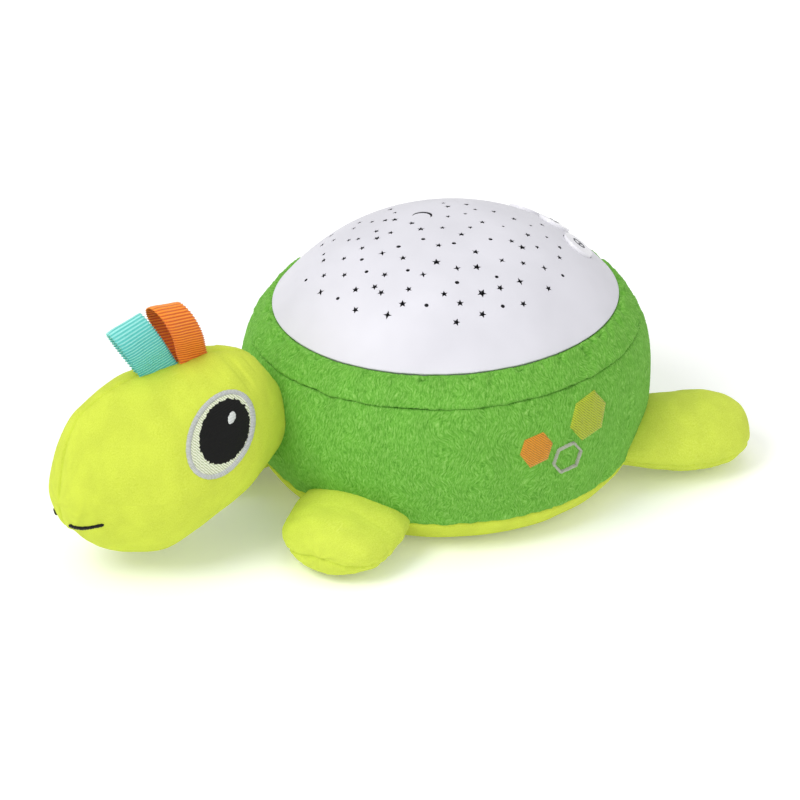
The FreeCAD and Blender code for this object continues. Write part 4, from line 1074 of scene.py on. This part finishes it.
# ------------------------------------------------------------------ ribbons
def build_ribbon(name, base, across, up, wide, bulge, material, top_at):
    B, X, W = np.array(base, float), np.array(across, float), np.array(wide, float)
    X /= np.linalg.norm(X)
    H = np.array(up, float); h = np.linalg.norm(H); H /= h
    b = bulge / 2.0
    K = np.array([(-1.6, -3.5), (-b * 0.42, h * 0.14), (-b * 0.80, h * 0.38), (-b, h * 0.66), (-b * 0.72, h * 0.90), (0, h), (b * 0.72, h * 0.90), (b, h * 0.66), (b * 0.80, h * 0.38), (b * 0.42, h * 0.14), (1.6, -3.5)])
    # closed smooth line through the points (centripetal spline)
    s = np.concatenate([[0], np.cumsum(np.linalg.norm(np.diff(K, axis=0), axis=1))])
    n = 330
    t = np.linspace(0, s[-1], n)
    C = np.column_stack([cub(s, K[:, 0], t), cub(s, K[:, 1], t)])
    s2 = np.concatenate([[0], np.cumsum(np.linalg.norm(np.diff(C, axis=0), axis=1))])
    t = np.linspace(0, s2[-1], n)
    C = np.column_stack([np.interp(t, s2, C[:, 0]), np.interp(t, s2, C[:, 1])])
    T = np.gradient(C, axis=0); T /= np.linalg.norm(T, axis=1)[:, None]
    Nn = np.column_stack([-T[:, 1], T[:, 0]])              # to the outside of the loop
    if np.sum(Nn[n // 2] * np.array([0, 1])) < 0:
        Nn = -Nn
    wmm = np.linalg.norm(W)
    k = 22
    e = np.linspace(-0.5, 0.5, k)
    rib = np.cos(2 * math.pi * t / 1.45)
    pic = 0.28 * rib                                        # picot edge
    rows_o, rows_i, uo, ui = [], [], [], []
    for i in range(n):
        wv = noise(np.column_stack([e * 3, np.full(k, t[i] * 0.05), np.full(k, 5.5)]), 111) * 0.35
        ww = 1.0 + 2 * pic[i] / wmm
        edge_thin = 0.36 * np.sqrt(np.clip(1 - (2 * e) ** 8, 0.05, 1))
        mid = B[None] + X[None] * (C[i, 0]) + H[None] * C[i, 1] + W[None] * (e * ww)[:, None]
        nrm = X * Nn[i, 0] + H * Nn[i, 1]
        rows_o.append(mid + nrm[None] * (edge_thin + 0.10 * rib[i] + wv)[:, None])
        rows_i.append(mid + nrm[None] * (-edge_thin + 0.10 * rib[i] + wv)[:, None])
        uo.append(np.column_stack([e * wmm, np.full(k, t[i])]))
    ro, ri = np.array(rows_o), np.array(rows_i)
    ring = np.concatenate([ro, ri[:, ::-1]], 1)             # closed section
    uvr = np.concatenate([np.array(uo), np.array(uo)[:, ::-1]], 1)
    F = grid_faces(n, 2 * k)
    ends = [tuple(range(2 * k))[::-1], tuple(range((n - 1) * 2 * k, n * 2 * k))]
    Fl = [tuple(f) for f in F] + ends
    uvflat = uvr.reshape(-1, 2)
    uvq = uvflat[np.array([list(f) for f in F]).ravel()]
    uvq = np.vstack([uvq] + [uvflat[list(x)] for x in ends])
    ob = add_mesh(name, M(ring.reshape(-1, 3)), Fl, material, uv=(uvq,))
    outward(ob)
    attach(ob, "head")
    L = float(t[-1])
    print("ribbon", name, "length mm", round(L, 1), "width", round(float(wmm), 1))
    return ob, L, float(wmm)


def cub(x, y, xs):
    """natural cubic spline"""
    n = len(x); h = np.diff(x)
    A = np.zeros((n, n)); r = np.zeros(n)
    A[0, 0] = A[-1, -1] = 1
    for i in range(1, n - 1):
        A[i, i - 1], A[i, i], A[i, i + 1] = h[i - 1], 2 * (h[i - 1] + h[i]), h[i]
        r[i] = 6 * ((y[i + 1] - y[i]) / h[i] - (y[i] - y[i - 1]) / h[i - 1])
    m = np.linalg.solve(A, r)
    i = np.clip(np.searchsorted(x, xs) - 1, 0, n - 2)
    d0, d1 = xs - x[i], x[i + 1] - xs
    return (m[i] * d1**3 + m[i + 1] * d0**3) / (6 * h[i]) + (y[i] / h[i] - m[i] * h[i] / 6) * d1 + (y[i + 1] / h[i] - m[i + 1] * h[i] / 6) * d0


teal, tl, tw = build_ribbon("teal_ribbon_loop", (0, -141.9, 87.0), (1, 0, 0), (0, -14.2, 24.6), (0, 15.6, 5.1), 9.6, TEAL, None)
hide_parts("ribbon_teal")
orange, ol, ow = build_ribbon("orange_ribbon_loop", (0, -126.0, 87.5), (1, 0.19, 0), (0, -10.9, 27.1), (-3.0, 15.4, -2.8), 12.8, ORANGE, None)
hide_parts("ribbon_orange")


# ------------------------------------------------------------------ embroidery, laid on the plush along the camera's lines
def bvh_of(obs):
    Vs, Fs, n = [], [], 0
    for o in obs:
        co = np.zeros(len(o.data.vertices) * 3); o.data.vertices.foreach_get("co", co); co = co.reshape(-1, 3) * 1000 - np.array([0, YS, 0])
        o.data.calc_loop_triangles()
        tr = np.zeros(len(o.data.loop_triangles) * 3, np.int32); o.data.loop_triangles.foreach_get("vertices", tr); tr = tr.reshape(-1, 3)
        Vs.append(co); Fs.append(tr + n); n += len(co)
    return BVHTree.FromPolygons([Vector(v) for v in np.vstack(Vs)], [tuple(int(i) for i in f) for f in np.vstack(Fs)])


HEAD_T = bvh_of([head])
SIDE_T = bvh_of([side])


def cast(tree, px, py):
    o, d = ray(px, py)
    hit, nrm, idx, dist = tree.ray_cast(Vector(o), Vector(d))
    if hit is None:
        return None, None
    n_ = np.array(nrm)
    if n_ @ d > 0:
        n_ = -n_
    return np.array(hit), n_


def smooth_normals(pts, nrms, r=2.0):
    P, Nn = np.array(pts), np.array(nrms)
    out = np.zeros_like(Nn)
    for i0 in range(0, len(P), 400):
        d2 = ((P[i0:i0 + 400, None] - P[None]) ** 2).sum(-1)
        w = np.exp(-d2 / (2 * r * r))
        out[i0:i0 + 400] = w @ Nn
    return out / np.linalg.norm(out, axis=1)[:, None]


def in_poly(P, q):
    inside = np.zeros(len(q), bool)
    for i in range(len(P)):
        a, b = P[i], P[(i + 1) % len(P)]
        c = ((a[1] > q[:, 1]) != (b[1] > q[:, 1]))
        with np.errstate(divide="ignore", invalid="ignore"):
            xi = (b[0] - a[0]) * (q[:, 1] - a[1]) / (b[1] - a[1]) + a[0]
        inside ^= c & (q[:, 0] < xi)
    return inside


def poly_dist(P, q):
    best = np.full(len(q), 1e9)
    for i in range(len(P)):
        a, b = P[i], P[(i + 1) % len(P)]
        ab = b - a
        t = np.clip(((q - a) @ ab) / max(ab @ ab, 1e-12), 0, 1)
        best = np.minimum(best, np.linalg.norm(q - (a + t[:, None] * ab), axis=1))
    return best


def patch(tree, poly, h, step=1.6, crown=0.35, base=-0.25, lump=0.0, seed=0):
    """raised satin patch over a polygon in photo pixels; returns points (mm), faces, uv (mm)"""
    poly = np.asarray(poly, float)
    per = np.linalg.norm(np.roll(poly, -1, 0) - poly, axis=1)
    dense = []
    for i in range(len(poly)):
        k = max(1, int(round(per[i] / step)))
        for j in range(k):
            dense.append(poly[i] + (poly[(i + 1) % len(poly)] - poly[i]) * j / k)
    dense = np.array(dense)
    if area2(dense) < 0:
        dense = dense[::-1]
    cen = dense.mean(0)
    rings = [dense]
    inner = cen + (dense - cen) * 1.0
    dd = 0.9
    # a close ring just inside for the rolled edge
    tn = np.roll(dense, -1, 0) - np.roll(dense, 1, 0); tn /= np.maximum(np.linalg.norm(tn, axis=1), 1e-9)[:, None]
    inn = np.column_stack([-tn[:, 1], tn[:, 0]])
    ring1 = dense + inn * dd
    lo_, hi_ = dense.min(0), dense.max(0)
    gx, gy = np.meshgrid(np.arange(lo_[0], hi_[0], step), np.arange(lo_[1], hi_[1], step))
    gx = gx + (np.arange(gx.shape[0]) % 2)[:, None] * step / 2
    g = np.column_stack([gx.ravel(), gy.ravel()])
    g = g[in_poly(dense, g)]
    g = g[poly_dist(dense, g) > dd + 0.6 * step] if len(g) else g
    r1 = ring1[in_poly(dense, ring1)]
    r1 = r1[poly_dist(dense, r1) > 0.6 * dd]
    pts = np.vstack([dense, r1, g])
    nb = len(dense)
    V_, _, F_, ov, _, _ = delaunay_2d_cdt([Vector(p) for p in pts], [(i, (i + 1) % nb) for i in range(nb)], [], 1, 1e-5)
    V2 = np.array([tuple(v) for v in V_])
    F2 = [tuple(f) for f in F_]
    dist = poly_dist(dense, V2)
    P3, N3, ok = [], [], []
    for p in V2:
        hp, hn = cast(tree, p[0], p[1])
        if hp is None:
            hp, hn = np.zeros(3), np.array([0, 0, 1.0]); ok.append(False)
        else:
            ok.append(True)
        P3.append(hp); N3.append(hn)
    P3, ok = np.array(P3), np.array(ok)
    N3 = smooth_normals(P3, N3, 2.5)
    dm = dist / 2.4
    hh = np.where(dist < 0.05, base, h * (1 - (1 - crown) * np.exp(-dm / 0.8)))
    if lump:
        hh = hh + lump * noise(P3 * 0.9, 200 + seed) * (dist > 0.05)
    P3 = P3 + N3 * hh[:, None]
    F2 = [f for f in F2 if all(ok[list(f)])]
    F3 = []
    for f in F2:
        a, b, c = P3[f[0]], P3[f[1]], P3[f[2]]
        F3.append(f if np.cross(b - a, c - a) @ N3[f[0]] > 0 else f[::-1])
    return P3, F3, V2 / 2.4


def strip(tree, line, width, h, closed=False, n_across=7, base=-0.2, step=1.0, jag=0.0, seed=3, twist=0.0):
    """raised band of satin along a line in photo pixels"""
    line = np.asarray(line, float)
    if closed:
        line = np.vstack([line, line[:1]])
    s = np.concatenate([[0], np.cumsum(np.linalg.norm(np.diff(line, axis=0), axis=1))])
    n = max(8, int(s[-1] / step))
    t = np.linspace(0, s[-1], n, endpoint=not closed)
    C = np.column_stack([np.interp(t, s, line[:, 0]), np.interp(t, s, line[:, 1])])
    if closed:
        T = np.roll(C, -1, 0) - np.roll(C, 1, 0)
    else:
        T = np.gradient(C, axis=0)
    T /= np.linalg.norm(T, axis=1)[:, None]
    Nn = np.column_stack([-T[:, 1], T[:, 0]])
    e = np.linspace(-1, 1, n_across)
    P3, N3, uv, ok = [], [], [], []
    rs = np.random.RandomState(seed)
    for i in range(n):
        wj = width / 2 * (1 + jag * rs.uniform(-1, 1, 2))
        ends = 1.0 if closed else min(1.0, math.sqrt(max(0.02, min(t[i], s[-1] - t[i]) / (width * 0.6))))
        for k, ee in enumerate(e):
            w_ = (wj[0] if ee < 0 else wj[1]) * ends
            q = C[i] + Nn[i] * ee * w_
            hp, hn = cast(tree, q[0], q[1])
            ok.append(hp is not None)
            P3.append(hp if hp is not None else np.zeros(3)); N3.append(hn if hn is not None else np.array([0, 0, 1.0]))
            uv.append((t[i] / 2.4, ee * width / 4.8))
    P3, N3, ok = np.array(P3), np.array(N3), np.array(ok)
    N3 = smooth_normals(P3, N3, 2.0)
    prof_h = np.where(np.abs(e) > 0.99, base, h * np.sqrt(np.clip(1 - e**2 * 0.85, 0, 1)))
    hh = np.tile(prof_h, n)
    if twist:
        hh = hh + twist * np.repeat(np.abs(np.sin(t / 2.4 * math.pi / 1.1)), n_across) * (hh > 0)
    P3 = P3 + N3 * hh[:, None]
    F = []
    lim = n if closed else n - 1
    for i in range(lim):
        i2 = (i + 1) % n
        for k in range(n_across - 1):
            f = (i * n_across + k, i2 * n_across + k, i2 * n_across + k + 1, i * n_across + k + 1)
            if all(ok[list(f)]):
                a, b, c = P3[f[0]], P3[f[1]], P3[f[2]]
                F.append(f if np.cross(b - a, c - a) @ N3[f[0]] > 0 else f[::-1])
    return P3, F, np.array(uv)


def lay_piece(name, parts, material, body, mirror=False):
    Vs, Fs, Us, n = [], [], [], 0
    for P, F, U in parts:
        Vs.append(P); Fs += [tuple(n + i for i in f) for f in F]; Us.append(U); n += len(P)
        if mirror:
            Vs.append(P * np.array([-1, 1, 1])); Fs += [tuple(n + i for i in f[::-1]) for f in F]; Us.append(U); n += len(P)
    used = sorted({i for f in Fs for i in f})
    mp = {o: i for i, o in enumerate(used)}
    V_ = np.vstack(Vs)[used]; U_ = np.vstack(Us)[used]
    ob = add_mesh(name, M(V_), [tuple(mp[i] for i in f) for f in Fs], material, uv=U_)
    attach(ob, body)
    return ob


def ellipse(cx, cy, hx, hy, sxy, shrink=0.0, n=96, jag=0.0, seed=1):
    """ellipse from its half extents and its covariance term, in pixels (y down)"""
    S = np.array([[hx * hx, sxy], [sxy, hy * hy]])
    w, v = np.linalg.eigh(S)
    a, b = np.sqrt(w) - shrink
    t = 2 * math.pi * np.arange(n) / n
    rs = np.random.RandomState(seed)
    k = 1 + jag * rs.uniform(-1, 1, n)
    P = np.outer(np.cos(t) * a * k, v[:, 0]) + np.outer(np.sin(t) * b * k, v[:, 1])
    return P + np.array([cx, cy])


RING = thread_mat("ring_thread_grey", (126, 130, 126), (206, 209, 206), 0.55)
BLACK = thread_mat("black_thread", (1, 1, 1), (9, 9, 8), 0.6, rot=1.25, rough=0.6, spec=0.25, bmp=1.0, soft=0.0)
FILL = thread_mat("eye_thread_pale", (142, 160, 84), (232, 236, 214), 0.95, rot=0.9, bmp=1.0)
WHITE = thread_mat("white_thread", (150, 156, 150), (226, 230, 226), 0.6, rot=1.3)
HEXO = thread_mat("orange_thread", (138, 84, 6), (226, 150, 30), 0.85, rot=1.0, bmp=1.0)
HEXY = thread_mat("yellow_green_thread", (96, 112, 12), (184, 198, 40), 0.85, rot=0.9, bmp=1.0)
HEXG = thread_mat("grey_thread", (120, 130, 108), (186, 192, 170), 0.42)
MOUTH = thread_mat("mouth_thread", (3, 3, 3), (20, 20, 18), 0.4, rough=0.6, spec=0.25, soft=0.0)

E0 = (220.5, 434.5, 34.5, 44.75, -494.0)
EB = (224.0, 431.6, 26.0, 34.0, -228.0)
lay_piece("eye_fill_threads", [patch(HEAD_T, ellipse(*E0, shrink=2.0), 0.35, 1.7, lump=0.12, seed=1)], FILL, "head", mirror=True)
lay_piece("eye_rings", [strip(HEAD_T, ellipse(*E0, shrink=2.4, n=120), 5.4, 0.85, closed=True, jag=0.10, n_across=9)], RING, "head", mirror=True)
lay_piece("eye_blacks", [patch(HEAD_T, ellipse(*EB, n=170, jag=0.035), 0.75, 1.6, lump=0.05, seed=2)], BLACK, "head", mirror=True)
HLT = bvh_of([head])
lay_piece("eye_highlights", [patch(HLT, ellipse(231.0, 418.0, 5.2, 7.8, -12.0, n=40, jag=0.06), 1.15, 1.2)], WHITE, "head", mirror=True)
mouth_line = [(69, 524.6), (74, 526.9), (81.5, 528.0), (88, 527.6), (96, 526.2), (104, 524.4)]
lay_piece("mouth_stitch", [strip(HEAD_T, mouth_line, 3.0, 0.55, n_across=7, twist=0.25, jag=0.18)], MOUTH, "head", mirror=True)

hex_o = [(543.5, 431.7), (553, 443), (548, 459), (530, 468), (519.6, 454.7), (524.4, 440)]
hex_y = [(594, 389.6), (605.7, 402.5), (601.4, 427.4), (581.8, 440.8), (569.8, 427.4), (575.6, 403.5)]
hex_g = [(574, 441), (582, 449.4), (576.5, 465.7), (559.8, 473.3), (552, 464.7), (557.4, 449.4)]


def inset(poly, d):
    P = np.array(poly, float); c = P.mean(0)
    return c + (P - c) * (1 - d / np.linalg.norm(P - c, axis=1).mean())


lay_piece("hexagon_orange", [patch(SIDE_T, hex_o, 0.95, 1.6, lump=0.06, seed=5)], HEXO, "body")
lay_piece("hexagon_yellow", [patch(SIDE_T, hex_y, 0.95, 1.7, lump=0.06, seed=6)], HEXY, "body")
lay_piece("hexagon_outline", [strip(SIDE_T, inset(hex_g, 1.4), 2.9, 0.9, closed=True, jag=0.25)], HEXG, "body")


# ------------------------------------------------------------------ floor, light, world
def floor():
    bpy.ops.mesh.primitive_plane_add(size=6.0, location=(0, 0, 0))
    o = bpy.context.object
    o.name = "floor"
    m, nt, p = mat("floor_paper")
    n = noise_tex(nt, node(nt, "ShaderNodeTexCoord").outputs["Object"], 30.0, 2.0)
    nt.links.new(ramp(nt, n, [(0.3, (0.98, 0.98, 0.98, 1)), (0.7, (1.0, 1.0, 1.0, 1))]), p.inputs["Base Color"])
    p.inputs["Roughness"].default_value = 0.9
    p.inputs["Specular IOR Level"].default_value = 0.1
    p.inputs["Emission Color"].default_value = (1, 1, 1, 1)
    p.inputs["Emission Strength"].default_value = 0.13
    o.data.materials.append(m)
    return o


floor()


def area(name, loc, size, power, target=(0, 0, 0.05), col=(1, 1, 1)):
    d = bpy.data.lights.new(name, "AREA")
    d.shape = "DISK"; d.size = size; d.energy = power; d.color = col
    o = bpy.data.objects.new(name, d)
    bpy.context.scene.collection.objects.link(o)
    o.location = loc
    o.rotation_euler = (Vector(loc) - Vector(target)).to_track_quat("Z", "Y").to_euler()
    return o


def dirv(az, el, r):
    a, e = math.radians(az), math.radians(el)
    return (r * math.sin(a) * math.cos(e), -r * math.cos(a) * math.cos(e), r * math.sin(e))


area("key", dirv(8, 50, 1.6), 0.8, 10.5)
area("fill", dirv(105, 35, 1.8), 1.2, 2.6)
area("top", (0, 0, 1.9), 1.4, 5.0)
w = bpy.data.worlds.new("studio"); bpy.context.scene.world = w
w.use_nodes = True
bg = w.node_tree.nodes["Background"]
bg.inputs[0].default_value = (1.0, 1.0, 1.0, 1.0)
bg.inputs[1].default_value = 0.66
bpy.context.scene.view_settings.view_transform = "Standard"
bpy.context.scene.view_settings.look = "None"
bpy.context.scene.view_settings.exposure = 0.0
